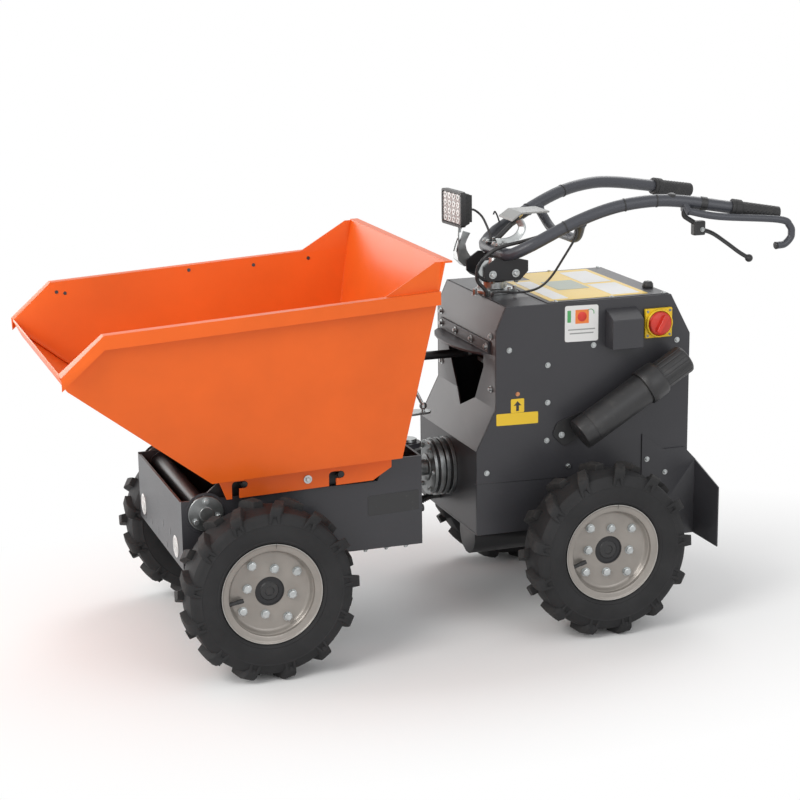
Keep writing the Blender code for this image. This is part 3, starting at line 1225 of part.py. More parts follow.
def make_handlebar():
    """Both bars, the clamp bar between them, the cross tubes and the left hook."""
    bars = tube("handlebar_tubes", BAR_PATH, TUBE_RADIUS)
    join(bars, tube("left_join", mirrored(BAR_PATH), TUBE_RADIUS))
    base = Vector(BAR_PATH[0])
    join(bars, rod("base_join", base, (base.x, -base.y, base.z), TUBE_RADIUS, sides=FINE_ROUND))
    crossing = Vector(BAR_PATH[2]).lerp(Vector(BAR_PATH[3]), HOOP_PLACE_SHARE)
    foot = Vector((crossing.x + TUBE_RADIUS, crossing.y * HOOP_FOOT_SHARE, crossing.z - HOOP_DIP))
    hoop = tube("hoop_join", (crossing, foot, *mirrored((foot, crossing))), HOOP_RADIUS, 2,
                smooth=False)
    join(bars, hoop)
    join(bars, tube("hook_join", LEFT_HOOK_PATH, HOOK_TUBE_RADIUS, 2))
    root = Vector(LEFT_HOOK_PATH[0])
    bar_point = Vector(mirrored(BAR_PATH)[5])
    join(bars, rod("root_join", bar_point, root + (root - bar_point) * ROOT_OVERRUN_SHARE,
                   HOOK_TUBE_RADIUS, sides=SMALL_ROUND))
    lug = Vector((LEVER_LUG_HALF, LEVER_LUG_HALF, 0))
    low = bar_point - Vector((0, 0, LEVER_LUG_DEPTH))
    join(bars, block("lug_join", low - lug, bar_point + lug))
    return finish(bars, "handlebar", TUBE_GREY)


def make_grips():
    """Rubber grips with their collars; the right one carries the throttle's box and thumb post."""
    for label, side in (("left", -1), ("right", 1)):
        before, last = smooth_line(BAR_PATH)[-2:]
        along = (last - before).normalized()
        start = last + along * SEAT_GAP
        grip = rod("grip_" + label, start, start + along * GRIP_LENGTH, GRIP_RADIUS, sides=FINE_ROUND)
        join(grip, rod("collar_join", start, start + along * COLLAR_LENGTH, COLLAR_RADIUS,
                       sides=FINE_ROUND))
        if side > 0:
            low = start + Vector((0, 0, -THROTTLE_DROP))
            join(grip, block("throttle_join", low + Vector((COLLAR_LENGTH / 4, -THROTTLE_HALF_WIDTH, 0)),
                             start + Vector((THROTTLE_LENGTH, THROTTLE_HALF_WIDTH, 0))))
            post = start + along * GRIP_LENGTH * THROTTLE_POST_SHARE
            join(grip, rod("post_join", post - Vector((0, 0, THROTTLE_POST_DROP)), post,
                           THROTTLE_POST_RADIUS, sides=SMALL_ROUND))
        else:
            grip.data.transform(Matrix.Diagonal((1, -1, 1, 1)))
            grip.data.flip_normals()
            for modifier in grip.modifiers:
                modifier.object.data.transform(Matrix.Diagonal((1, -1, 1, 1)))
                modifier.object.data.flip_normals()
        finish(grip, "handlebar", BLACK)


def make_bracket():
    """Black channel that clamps the bars on the column, with its slot bolts."""
    outline = (
        (BRACKET_FRONT_X, BRACKET_LOW_Z + OVERRUN), (BRACKET_FRONT_X + OVERRUN, BRACKET_LOW_Z),
        (BRACKET_REAR_X - 2 * OVERRUN, BRACKET_LOW_Z), (BRACKET_REAR_X, BRACKET_LOW_Z + 2 * OVERRUN),
        (BRACKET_REAR_X, BRACKET_TOP_Z - OVERRUN),
        (BRACKET_REAR_X - 2 * OVERRUN, BRACKET_TOP_Z - OVERRUN / 2),
        (BRACKET_FRONT_X + 3 * OVERRUN, BRACKET_TOP_Z), (BRACKET_FRONT_X, BRACKET_TOP_Z - 2 * OVERRUN))
    bracket = plate("bar_bracket", outline, 0, 2 * BRACKET_HALF_WIDTH, UPRIGHT_LENGTHWISE)
    inside = BRACKET_HALF_WIDTH - BRACKET_PLATE
    cut(bracket, block("channel_cut",
                       (BRACKET_FRONT_X - OVERRUN, -inside, BRACKET_LOW_Z + BRACKET_PLATE),
                       (BRACKET_REAR_X + OVERRUN, inside, BRACKET_TOP_Z + OVERRUN)))
    tube_cut = TUBE_RADIUS + SEAT_GAP
    cut(bracket, rod("bar_cut", (BAR_PATH[0][0], -BRACKET_HALF_WIDTH - OVERRUN, BAR_BASE_Z),
                     (BAR_PATH[0][0], BRACKET_HALF_WIDTH + OVERRUN, BAR_BASE_Z), tube_cut,
                     sides=FINE_ROUND))
    cut(bracket, rod("column_cut", (COLUMN_X, 0, BRACKET_LOW_Z - OVERRUN), (COLUMN_X, 0, COLUMN_TOP_Z),
                     COLUMN_RADIUS + SEAT_GAP))
    return finish(bracket, "handlebar", BLACK_STEEL)


def make_cover():
    """Grey bent sheet inside the right bar, held off it by a short stay."""
    bar = smooth_line(BAR_PATH)[3]
    stay = bar + Vector((0, -COVER_OFFSET, COVER_LIFT))
    x, z = stay.x, stay.z
    outline = (
        (x - COVER_LENGTH / 2, z - COVER_LENGTH / 6), (x - COVER_LENGTH / 4, z),
        (x + COVER_LENGTH / 2, z), (x + COVER_LENGTH / 2, z - COVER_PLATE),
        (x - COVER_LENGTH / 4, z - COVER_PLATE),
        (x - COVER_LENGTH / 2, z - COVER_LENGTH / 6 - COVER_PLATE))
    cover = plate("cable_cover", outline, stay.y - COVER_WIDTH / 2 + COVER_STAY_RADIUS, COVER_WIDTH,
                  UPRIGHT_LENGTHWISE)
    heading = (stay - bar).normalized()
    join(cover, rod("stay_join", bar + heading * (TUBE_RADIUS + SEAT_GAP),
                    stay - Vector((0, 0, COVER_PLATE / 2)), COVER_STAY_RADIUS / 2,
                    sides=SMALL_ROUND))
    return finish(cover, "handlebar", CHARCOAL)


def make_lamp():
    """Square work lamp, its bent bracket and its lead."""
    lens_x = LAMP_X - LAMP_DEPTH / 2
    back_x = LAMP_X + LAMP_DEPTH / 2
    lamp = block("work_lamp",
                 (lens_x, LAMP_Y - LAMP_HALF_WIDTH, LAMP_Z - LAMP_HALF_HEIGHT),
                 (back_x, LAMP_Y + LAMP_HALF_WIDTH, LAMP_Z + LAMP_HALF_HEIGHT))
    for vert in lamp.data.vertices:
        if vert.co.x > LAMP_X:
            vert.co.y = LAMP_Y + (vert.co.y - LAMP_Y) * LAMP_BACK_SHARE
            vert.co.z = LAMP_Z + (vert.co.z - LAMP_Z) * LAMP_BACK_SHARE
    bevel = lamp.modifiers.new("edges", "BEVEL")
    bevel.width = LAMP_DEPTH / 6
    bevel.segments = 2
    middle = Vector((LAMP_X, LAMP_Y, 0))
    lamp.data.transform(Matrix.Translation(middle) @ Matrix.Rotation(radians(LAMP_YAW), 4, "Z")
                        @ Matrix.Translation(-middle))
    finish(lamp, "handlebar", BLACK)

    foot_x = BAR_PATH[0][0] - TUBE_RADIUS
    foot_z = BRACKET_LOW_Z + LAMP_BRACKET_RISE
    taper = LAMP_HALF_HEIGHT * (1 - LAMP_BACK_SHARE) / LAMP_DEPTH
    head_z = LAMP_Z - LAMP_HALF_HEIGHT + taper * LAMP_DEPTH / 4 - 3 * SEAT_GAP
    back_z = head_z + taper * LAMP_DEPTH / 2
    strap = LAMP_BRACKET_PLATE
    knee_x = LAMP_X - LAMP_DEPTH / 4
    outline = (
        (LAMP_X + LAMP_DEPTH / 4, back_z), (knee_x, head_z), (knee_x, foot_z + 4 * strap),
        (knee_x + 4 * strap, foot_z), (foot_x, foot_z), (foot_x, foot_z + strap),
        (knee_x + 5 * strap, foot_z + strap), (knee_x + strap, foot_z + 5 * strap),
        (knee_x + strap, head_z - strap), (LAMP_X + LAMP_DEPTH / 4, back_z - strap))
    bracket = plate("lamp_bracket", outline,
                    BRACKET_HALF_WIDTH + SEAT_GAP + LAMP_BRACKET_HALF_WIDTH,
                    2 * LAMP_BRACKET_HALF_WIDTH, UPRIGHT_LENGTHWISE)
    finish(bracket, "handlebar", ZINC)


def make_lever():
    """Hand lever on its perch under the left bar, with its ball end."""
    bar = Vector(mirrored(BAR_PATH)[5])
    root = bar - Vector((0, 0, LEVER_LUG_DEPTH + SEAT_GAP))
    perch = bar + Vector((PERCH_REACH, 0, -PERCH_DROP))
    end = bar + Vector((PERCH_REACH + LEVER_REACH, -PERCH_WIDTH, -PERCH_DROP - LEVER_FALL))
    knee = (perch + end) / 2 + Vector((0, 0, PERCH_HEIGHT / 6))
    lever = tube("brake_lever", (root, root - Vector((0, 0, LEVER_LUG_HALF)), perch, knee, end),
                 LEVER_RADIUS, 2, smooth=False)
    half = Vector((PERCH_LENGTH, PERCH_WIDTH, PERCH_HEIGHT)) / 2
    join(lever, block("perch_join", perch - half, perch + half))
    join(lever, ball("ball_join", end, LEVER_BALL_RADIUS))
    finish(lever, "handlebar", BLACK)


def make_cables():
    finish(tube("control_cable", CONTROL_CABLE_PATH, CABLE_RADIUS, 2), "handlebar", BLACK)
    finish(tube("bar_cable", BAR_CABLE_PATH, BAR_CABLE_RADIUS, 2), "handlebar", BLACK)
    finish(tube("lamp_cable", LAMP_CABLE_PATH, CABLE_RADIUS, 2), "handlebar", BLACK)


clear_scene()
PARTS = make_collection("site_dumper")
GUIDES = make_collection("guides")
AXES = make_axes(PARTS)
MACHINE = PARTS.objects["site_dumper"]

ORANGE = make_finish("skip_paint", (0.80, 0.15, 0.03), 0.38, 0.0)
CHARCOAL = make_finish("chassis_paint", (0.055, 0.055, 0.063), 0.45, 0.1)
BLACK = make_finish("black_parts", (0.012, 0.012, 0.013), 0.5, 0.1)
BLACK_STEEL = make_finish("black_steel", (0.020, 0.020, 0.022), 0.45, 0.2)
RUBBER = make_finish("tyre_rubber", (0.020, 0.020, 0.021), 0.8, 0.0)
RIM_GREY = make_finish("rim_enamel", (0.28, 0.26, 0.24), 0.4, 0.5)
ZINC = make_finish("zinc_plate", (0.55, 0.57, 0.57), 0.3, 0.95)
TUBE_GREY = make_finish("bar_paint", (0.075, 0.08, 0.098), 0.35, 0.2)
YELLOW = make_finish("isolator_yellow", (0.85, 0.62, 0.03), 0.4, 0.0)
RED = make_finish("isolator_red", (0.62, 0.03, 0.02), 0.35, 0.0)

make_skip()
for rail_label, rail_side in (("left", -1), ("right", 1)):
    make_hook_rail(rail_side, rail_label)
    make_mudguard(rail_side, rail_label)
make_tip_frame()
make_tip_shaft()
make_front_frame()
make_kingpin()
make_swivel()
make_front_axle()
make_rear_axle()
make_wheels()
make_rear_sides()
make_rear_panels()
make_battery()
make_swing_guard()
make_canister()
make_isolator()
make_socket_housing()
make_conduit()
make_column()
make_drag_link()
make_mast()
make_handlebar()
make_grips()
make_bracket()
make_cover()
make_lamp()
make_lever()
make_cables()
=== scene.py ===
"""Visual model of the walk-behind site dumper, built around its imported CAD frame."""
from math import cos, pi, radians, sin, sqrt

import bmesh
import bpy
from mathutils import Matrix, Vector


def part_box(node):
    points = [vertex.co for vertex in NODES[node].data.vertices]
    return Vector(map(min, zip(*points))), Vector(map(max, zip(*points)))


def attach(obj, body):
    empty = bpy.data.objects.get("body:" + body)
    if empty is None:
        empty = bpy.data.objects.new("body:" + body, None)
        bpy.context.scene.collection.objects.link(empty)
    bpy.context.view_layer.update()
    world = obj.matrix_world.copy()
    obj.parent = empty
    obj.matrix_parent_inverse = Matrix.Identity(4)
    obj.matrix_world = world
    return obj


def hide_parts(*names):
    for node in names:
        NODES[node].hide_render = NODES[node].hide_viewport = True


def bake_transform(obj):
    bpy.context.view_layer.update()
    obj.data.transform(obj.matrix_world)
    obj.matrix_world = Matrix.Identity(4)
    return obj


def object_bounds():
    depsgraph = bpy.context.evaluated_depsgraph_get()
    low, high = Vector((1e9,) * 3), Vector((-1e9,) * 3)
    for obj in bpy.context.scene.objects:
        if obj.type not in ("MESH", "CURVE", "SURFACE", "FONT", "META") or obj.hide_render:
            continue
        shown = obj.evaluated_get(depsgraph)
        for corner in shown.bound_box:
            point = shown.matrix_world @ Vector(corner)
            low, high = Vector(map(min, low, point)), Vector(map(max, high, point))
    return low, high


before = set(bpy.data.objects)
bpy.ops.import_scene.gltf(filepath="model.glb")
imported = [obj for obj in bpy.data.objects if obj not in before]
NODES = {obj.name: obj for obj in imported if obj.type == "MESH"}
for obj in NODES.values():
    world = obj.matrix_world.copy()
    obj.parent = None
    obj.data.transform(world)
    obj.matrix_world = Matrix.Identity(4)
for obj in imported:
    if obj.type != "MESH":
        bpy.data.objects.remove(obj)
CAD_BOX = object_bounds()

bl_info = {
    "name": "Site dumper",
    "version": (1, 0, 0),
    "blender": (4, 5, 0),
    "location": "View3D > Sidebar > Dumper",
    "description": "Builds the site dumper's visual model around its CAD frame",
    "category": "Add Mesh",
}


def middle_of(node):
    low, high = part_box(node)
    return (low + high) / 2


FRONT_AXLE = middle_of("front_left_rim")
REAR_AXLE = middle_of("rear_left_rim")
AXLE_X = FRONT_AXLE.x
FLOOR_Z = CAD_BOX[0][2]


def spot(x, y, z):
    """A place measured from the front axle, in the frame's metres."""
    return Vector((x + AXLE_X, y, z))


def spots(places):
    return [spot(*place) for place in places]


def on_circle(radius, angles):
    """Places on a circle round nought, from angles in degrees."""
    return [(cos(radians(angle)) * radius, sin(radians(angle)) * radius) for angle in angles]


def oblong(left, right, low, high):
    return [(left, low), (right, low), (right, high), (left, high)]


def flipped(half):
    """A lathe profile's half run back along the other side."""
    return [(-along, radius) for along, radius in reversed(half)]


def shifted(outline):
    """A flat outline whose first value is measured from the front axle."""
    return [(spot(x, 0, 0).x, other) for x, other in outline]


# Routes of the cables and the bars, as in the part's source, from the front axle
BAR_PATH = (
    (0.664, 0.088, 0.866), (0.71, 0.115, 0.893), (0.812, 0.133, 0.943), (0.9, 0.153, 0.974),
    (0.985, 0.172, 0.986), (1.06, 0.186, 0.982), (1.17, 0.206, 0.964))
HOOK_PATH = (
    (1.062, -0.207, 0.962), (1.13, -0.226, 0.948), (1.27, -0.252, 0.936), (1.3, -0.253, 0.92),
    (1.306, -0.253, 0.897), (1.29, -0.253, 0.878), (1.268, -0.253, 0.875))
CONTROL_ROUTE = (
    (0.812, -0.133, 0.9262), (0.812, -0.131, 0.908), (0.786, -0.112, 0.852), (0.764, -0.098, 0.811),
    (0.738, -0.088, 0.786), (0.702, -0.08, 0.777), (0.664, -0.076, 0.779), (0.634, -0.074, 0.78),
    (0.627, -0.073, 0.777), (0.627, -0.073, 0.769))
BAR_ROUTE = (
    (0.806, -0.113, 0.9365), (0.77, -0.103, 0.9195), (0.74, -0.0925, 0.908),
    (0.698, -0.078, 0.896), (0.664, -0.068, 0.888), (0.634, -0.06, 0.876), (0.604, -0.052, 0.846),
    (0.598, -0.048, 0.81), (0.612, -0.049, 0.79), (0.62, -0.05, 0.779), (0.62, -0.05, 0.7692))
LAMP_ROUTE = (
    (0.6222, 0.067, 0.955), (0.6361, 0.0685, 0.955), (0.652, 0.058, 0.94), (0.66, 0.042, 0.915),
    (0.664, 0.033, 0.895), (0.664, 0.03, 0.881))


def mirrored(places):
    return [(x, -y, z) for x, y, z in places]


def smooth_line(places, steps=6):
    """Points along a smooth line that passes through every place."""
    places = [Vector(place) for place in places]
    ends = [places[0] * 2 - places[1], *places, places[-1] * 2 - places[-2]]
    points = []
    for index in range(1, len(ends) - 2):
        before, here, there, after = ends[index - 1:index + 3]
        for step in range(steps):
            t = step / steps
            points.append(0.5 * (
                2 * here + (there - before) * t
                + (2 * before - 5 * here + 4 * there - after) * t ** 2
                + (3 * here - before - 3 * there + after) * t ** 3))
    return points + [places[-1]]


def line_length(points):
    return sum((there - here).length for here, there in zip(points, points[1:]))


# Settings that a user would change

def length_setting(name, description, default):
    return bpy.props.FloatProperty(
        name=name, description=description, default=default, unit="LENGTH")


def colour_setting(name, description, default):
    return bpy.props.FloatVectorProperty(
        name=name, description=description, default=default, subtype="COLOR")


class DumperSizes(bpy.types.PropertyGroup):
    """Sizes of the tyres, rims, bars, grips and conduit."""
    tyre_radius: length_setting(
        "Tyre radius", "Radius over the tread lugs",
        round((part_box("front_left_tyre")[1].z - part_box("front_left_tyre")[0].z) / 2, 4))
    lug_count: bpy.props.IntProperty(
        name="Lugs", description="Tread lugs on each side of a tyre", default=13)
    rim_radius: length_setting(
        "Rim lip", "Radius that the rim's bright, rubbed lip starts near", 0.1153)
    bolt_pitch: length_setting(
        "Wheel bolt pitch", "Spacing of the square grid of wheel bolts", 0.0525)
    bar_radius: length_setting("Bar radius", "Radius of the handlebar tubes", 0.0145)
    grip_radius: length_setting("Grip radius", "Radius of the rubber grips", 0.0172)
    conduit_pitch: length_setting("Conduit pitch", "Spacing of the conduit's corrugations", 0.0052)


class DumperColours(bpy.types.PropertyGroup):
    """Base colours of the finishes, in linear light."""
    skip_paint: colour_setting("Skip paint", "Enamel on the skip", (0.8, 0.128, 0.014))
    chassis_paint: colour_setting(
        "Chassis paint", "Powder coat on both halves of the chassis", (0.04, 0.04, 0.045))
    bar_paint: colour_setting(
        "Bar paint", "Powder coat on the handlebar tubes", (0.05, 0.053, 0.064))
    rubber: colour_setting("Rubber", "Tyre rubber", (0.022, 0.022, 0.023))
    rim_enamel: colour_setting("Rim enamel", "Warm grey enamel on the rims", (0.285, 0.262, 0.238))
    zinc: colour_setting("Zinc", "Bright zinc plating", (0.47, 0.49, 0.49))
    yellow: colour_setting("Yellow", "Yellow of the labels and the isolator", (0.84, 0.55, 0.012))


def sizes():
    return bpy.context.scene.dumper_sizes


def colours():
    return bpy.context.scene.dumper_colours


# Finishes

class Sock:
    """A value socket whose operators add the Math nodes that they stand for."""

    def __init__(self, finish, socket):
        self.finish = finish
        self.socket = socket

    def math(self, operation, other=None, swap=False):
        pair = [self] if other is None else [self, other]
        if swap:
            pair.reverse()
        return self.finish.make("ShaderNodeMath", {"operation": operation}, dict(enumerate(pair)))

    def __add__(self, other):
        return self.math("ADD", other)

    __radd__ = __add__

    def __sub__(self, other):
        return self.math("SUBTRACT", other)

    def __rsub__(self, other):
        return self.math("SUBTRACT", other, True)

    def __mul__(self, other):
        return self.math("MULTIPLY", other)

    __rmul__ = __mul__

    def __pow__(self, other):
        return self.math("POWER", other)

    def wave(self):
        return self.math("SINE")

    def remap(self, low, high, to_low=0.0, to_high=1.0):
        """This value's range low to high, stretched and held to another range."""
        return self.finish.make("ShaderNodeMapRange", {}, {
            "Value": self, "From Min": low, "From Max": high, "To Min": to_low, "To Max": to_high})


class Finish:
    """One procedural material and the nodes that feed its principled shader."""

    def __init__(self, name, **constants):
        self.material = bpy.data.materials.new(name)
        self.material.use_nodes = True
        self.tree = self.material.node_tree
        self.tree.nodes.clear()
        self.shader = self.tree.nodes.new("ShaderNodeBsdfPrincipled")
        self.output = self.tree.nodes.new("ShaderNodeOutputMaterial")
        self.tree.links.new(self.shader.outputs[0], self.output.inputs[0])
        for key, value in constants.items():
            self.shader.inputs[key.replace("_", " ")].default_value = value
        self.place = self.make("ShaderNodeTexCoord", {}, {}, "Object")

    def feed(self, socket, value):
        if isinstance(value, Sock):
            self.tree.links.new(value.socket, socket)
        elif isinstance(value, (tuple, list)) and socket.type == "RGBA" and len(value) == 3:
            socket.default_value = (*value, 1)
        else:
            socket.default_value = value

    def make(self, kind, settings, sockets, out=0):
        """Adds a node of a type: its settings first, then its sockets' values or links."""
        node = self.tree.nodes.new(kind)
        for key, value in settings.items():
            setattr(node, key, value)
        for key, value in sockets.items():
            self.feed(node.inputs[key], value)
        return Sock(self, node.outputs[out])

    def noise(self, scale, detail=3.0, rough=0.55, stretch=None):
        place = self.place
        if stretch:
            place = self.make("ShaderNodeMapping", {}, {"Vector": place, "Scale": stretch})
        return self.make("ShaderNodeTexNoise", {}, {
            "Vector": place, "Scale": scale, "Detail": detail, "Roughness": rough})

    def cells(self, scale):
        return self.make("ShaderNodeTexVoronoi", {"feature": "F1"}, {
            "Vector": self.place, "Scale": scale})

    def axis(self, index):
        return self.make("ShaderNodeSeparateXYZ", {}, {0: self.place}, index)

    def attribute(self, name):
        return self.make("ShaderNodeAttribute", {"attribute_name": name}, {}, "Fac")

    def blend(self, share, low, high):
        """A colour between two colours."""
        return self.make("ShaderNodeMix", {"data_type": "RGBA"}, {0: share, 6: low, 7: high}, 2)

    def clouded(self, cloud, colour, darker, lighter):
        """The colour in soft patches, darker and lighter."""
        return self.blend(cloud.remap(0.3, 0.7), tint(colour, darker), tint(colour, lighter))

    def bump(self, height, strength, distance):
        return self.make("ShaderNodeBump", {}, {
            "Strength": strength, "Distance": distance, "Height": height})

    def colour(self, value):
        self.feed(self.shader.inputs["Base Color"], value)

    def rough(self, value):
        self.feed(self.shader.inputs["Roughness"], value)

    def metal(self, value):
        self.feed(self.shader.inputs["Metallic"], value)

    def relief(self, value):
        self.feed(self.shader.inputs["Normal"], value)


def tint(colour, share):
    return tuple(channel * share for channel in colour)


def coated(name, colour, rough, dust=(0.3, 0.28, 0.25), dusty=0.05, peel=0.1, **constants):
    """Sprayed paint: faint clouds, orange peel, and dust that lies thicker near the ground."""
    finish = Finish(name, **constants)
    cloud = finish.noise(5.0, 4.0)
    fine = finish.noise(140.0, 3.0)
    scuff = finish.noise(34.0, 6.0, 0.7, stretch=(1.0, 1.0, 3.0)).remap(0.6, 0.82)
    low = finish.axis(2).remap(0.1, 0.75, 1.0, 0.25)
    paint = finish.clouded(cloud, colour, 0.93, 1.06)
    speck = fine.remap(0.45, 0.9) * low * dusty + scuff * dusty * 0.9
    finish.colour(finish.blend(speck, paint, dust))
    finish.rough(cloud * 0.1 + fine * 0.06 + scuff * 0.08 + (rough - 0.08))
    finish.relief(finish.bump(finish.noise(900.0, 2.0), peel, 0.0004))
    return finish.material


def plated(name, colour, rough=0.3, tarnish=(0.36, 0.37, 0.35), metal=0.92):
    """Plated or bare metal: soft cloudy patches, fine scratches and duller spots."""
    finish = Finish(name)
    patch = finish.noise(38.0, 5.0, 0.6)
    spot_mask = finish.cells(210.0).remap(0.02, 0.3, 1.0, 0.0) * finish.noise(60.0).remap(0.5, 0.7)
    scratch = finish.noise(260.0, 2.0, 0.5, stretch=(0.15, 1.0, 1.0))
    bright = finish.blend(patch.remap(0.35, 0.65), tint(colour, 0.8), tint(colour, 1.12))
    finish.colour(finish.blend(spot_mask * 0.6, bright, tarnish))
    finish.metal(metal - spot_mask * 0.35)
    finish.rough(patch * 0.12 + scratch * 0.05 + spot_mask * 0.2 + (rough - 0.08))
    finish.relief(finish.bump(scratch, 0.06, 0.0002))
    return finish.material


def moulded(name, colour, rough=0.5, grain=420.0, dusty=0.07):
    """Moulded plastic or rubber skin: fine leather-like grain with dust in it."""
    finish = Finish(name)
    cloud = finish.noise(14.0, 4.0)
    pits = finish.cells(grain)
    dust = finish.noise(46.0, 5.0).remap(0.55, 0.8) * dusty
    base = finish.clouded(cloud, colour, 0.86, 1.15)
    finish.colour(finish.blend(dust, base, (0.3, 0.28, 0.25)))
    finish.rough(cloud * 0.1 + pits * 0.08 + (rough - 0.07))
    finish.relief(finish.bump(pits, 0.25, 0.0003))
    return finish.material


def printed(name, colour, rough=0.36):
    """Vinyl label: flat printed colour with rubbed patches, faint creases and a satin film."""
    finish = Finish(name, Coat_Weight=0.25, Coat_Roughness=0.15)
    rub = finish.noise(60.0, 6.0, 0.65).remap(0.62, 0.85)
    crease = finish.noise(18.0, 3.0, stretch=(1.0, 1.0, 4.0))
    finish.colour(finish.blend(rub * 0.35, finish.blend(crease, tint(colour, 0.95), colour),
                               (0.42, 0.4, 0.37)))
    finish.rough(crease * 0.12 + (rough - 0.06))
    finish.relief(finish.bump(crease, 0.06, 0.0006))
    return finish.material


def tyre_rubber(name, colour):
    """Tyre: matt rubber, dull soil rubbed into the lugs, pale bloom on the side walls."""
    finish = Finish(name, Specular_IOR_Level=0.25)
    worn = finish.attribute("wear")
    cloud = finish.noise(11.0, 5.0)
    scrub = finish.noise(75.0, 6.0, 0.7)
    fibre = finish.noise(190.0, 3.0, 0.6, stretch=(1.0, 3.5, 1.0))
    base = finish.clouded(cloud, colour, 0.8, 1.22)
    soil = worn * scrub.remap(0.35, 0.62)
    bloom = scrub.remap(0.58, 0.8) * (1 - worn) * 0.1
    soiled = finish.blend(soil * 0.42, base, (0.07, 0.066, 0.062))
    finish.colour(finish.blend(bloom * 0.7, soiled, (0.12, 0.115, 0.11)))
    finish.rough(scrub * 0.2 + worn * 0.1 + 0.56)
    finish.relief(finish.bump(fibre * 0.6 + scrub * 0.6, 0.35, 0.0008))
    return finish.material


def wheel_enamel(name, colour):
    """Rim: satin enamel, rubbed bright on the lip, with grit and small chips."""
    finish = Finish(name)
    bare = finish.attribute("wear")
    cloud = finish.noise(16.0, 5.0)
    chip = finish.noise(95.0, 6.0, 0.75)
    rubbed = bare * (chip.remap(0.25, 0.6) * 0.6 + 0.4)
    paint = finish.clouded(cloud, colour, 0.9, 1.1)
    grit = chip.remap(0.62, 0.8) * 0.35 * (1 - rubbed)
    dirty = finish.blend(grit, paint, (0.13, 0.115, 0.1))
    finish.colour(finish.blend(rubbed, dirty, (0.46, 0.45, 0.43)))
    finish.metal(rubbed * 0.4 + 0.35)
    finish.rough(chip * 0.14 + 0.25 - rubbed * 0.04)
    finish.relief(finish.bump(finish.noise(420.0), 0.12, 0.0004))
    return finish.material


def hatched_lens(name):
    """Moulded lamp lens: ribs crossing on the slant, in two greys, with painted shade darkening the
    grooves and lighter crests.
    """
    finish = Finish(name, Coat_Weight=0.25, Coat_Roughness=0.2, Specular_IOR_Level=0.3)
    y, z = finish.axis(1), finish.axis(2)
    ribs = ((y + z) * 900.0).wave() * 0.5 + ((y - z) * 900.0).wave() * 0.5
    rib_relief_and_shade = ribs.remap(-0.8, 0.8)
    # Painted shade: the colour follows the ribs, darker in the grooves and lighter on the crests.
    finish.colour(finish.blend(rib_relief_and_shade, (0.2, 0.175, 0.17), (0.42, 0.375, 0.36)))
    finish.rough(rib_relief_and_shade * 0.15 + 0.22)
    finish.relief(finish.bump(rib_relief_and_shade, 0.6, 0.001))
    return finish.material


LOOK = {}


def mix_finishes():
    """Makes each finish once, under the name that the pieces ask for."""
    chosen = colours()
    LOOK["orange"] = coated("skip_enamel", tuple(chosen.skip_paint), 0.34,
                            (0.45, 0.22, 0.1), 0.04, 0.06, Specular_IOR_Level=0.24,
                            Coat_Weight=0.05, Coat_Roughness=0.18)
    LOOK["charcoal"] = coated("chassis_powder_coat", tuple(chosen.chassis_paint), 0.35,
                              (0.18, 0.17, 0.16), 0.04, 0.14, Specular_IOR_Level=0.4)
    LOOK["black_steel"] = coated("black_powder_coat", (0.014, 0.014, 0.016), 0.38,
                                 (0.12, 0.11, 0.1), 0.05, 0.14, Specular_IOR_Level=0.4)
    LOOK["bar"] = coated("bar_powder_coat", tuple(chosen.bar_paint), 0.36, (0.22, 0.21, 0.2),
                         0.03, 0.1)
    LOOK["rubber"] = tyre_rubber("tyre_rubber_dusty", tuple(chosen.rubber))
    LOOK["rim"] = wheel_enamel("rim_enamel_worn", tuple(chosen.rim_enamel))
    yellow = tuple(chosen.yellow)
    for recipe, key, *values in (
            (plated, "zinc", "zinc_plated", tuple(chosen.zinc)),
            (plated, "steel", "machined_steel", (0.25, 0.26, 0.26), 0.3, (0.16, 0.16, 0.155),
             0.85),
            (plated, "copper", "copper_plated", (0.55, 0.26, 0.13), 0.35, (0.22, 0.12, 0.08)),
            (plated, "brass", "brass", (0.62, 0.44, 0.16), 0.3, (0.35, 0.25, 0.1)),
            (moulded, "plastic", "black_plastic", (0.018, 0.018, 0.019), 0.42),
            (moulded, "soft", "soft_rubber", (0.022, 0.022, 0.023), 0.62, 600.0, 0.1),
            (moulded, "sleeve", "cable_sleeve", (0.016, 0.016, 0.017), 0.38, 700.0, 0.05),
            (moulded, "yellow", "yellow_plastic", yellow, 0.38, 520.0, 0.03),
            (moulded, "red", "red_plastic", (0.62, 0.035, 0.02), 0.35, 520.0, 0.03),
            (printed, "label_yellow", "yellow_label", yellow),
            (printed, "label_white", "white_label", (0.74, 0.74, 0.73)),
            (printed, "label_black", "black_label", (0.012, 0.012, 0.013), 0.3),
            (printed, "label_grey", "grey_label", (0.3, 0.31, 0.3)),
            (plated, "disc", "embossed_disc", (0.6, 0.6, 0.59), 0.42, (0.42, 0.42, 0.41), 0.35),
            (printed, "label_green", "green_grey_label", (0.3, 0.36, 0.27)),
            (printed, "label_leaf", "leaf_green_label", (0.06, 0.34, 0.1)),
            (printed, "label_orange", "orange_label", (0.8, 0.2, 0.03))):
        LOOK[key] = recipe(*values)
    LOOK["lens"] = hatched_lens("lamp_lens")
    LOOK["pale"] = coated("pale_grey_paint", (0.34, 0.345, 0.34), 0.4, (0.3, 0.29, 0.27),
                          0.05, 0.1)


# Mesh makers

MERGE_GAP = 0.000002
NODE_MERGE_GAP = 0.00002
FLAT_ANGLE = 1.0
EDGE_ANGLE = 28
CREASE_ANGLE = 50
CORNER_STEPS = 5


def piece(name, mesh, look, body, *replaced, slot=None):
    """A finished mesh becomes a piece with its finish, on its body, in place of CAD nodes."""
    obj = bpy.data.objects.new(name, mesh)
    bpy.context.scene.collection.objects.link(obj)
    mesh.materials.clear()
    mesh.materials.append(LOOK[look])
    if body:
        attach(obj, body)
    if replaced:
        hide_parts(*replaced)
    return obj


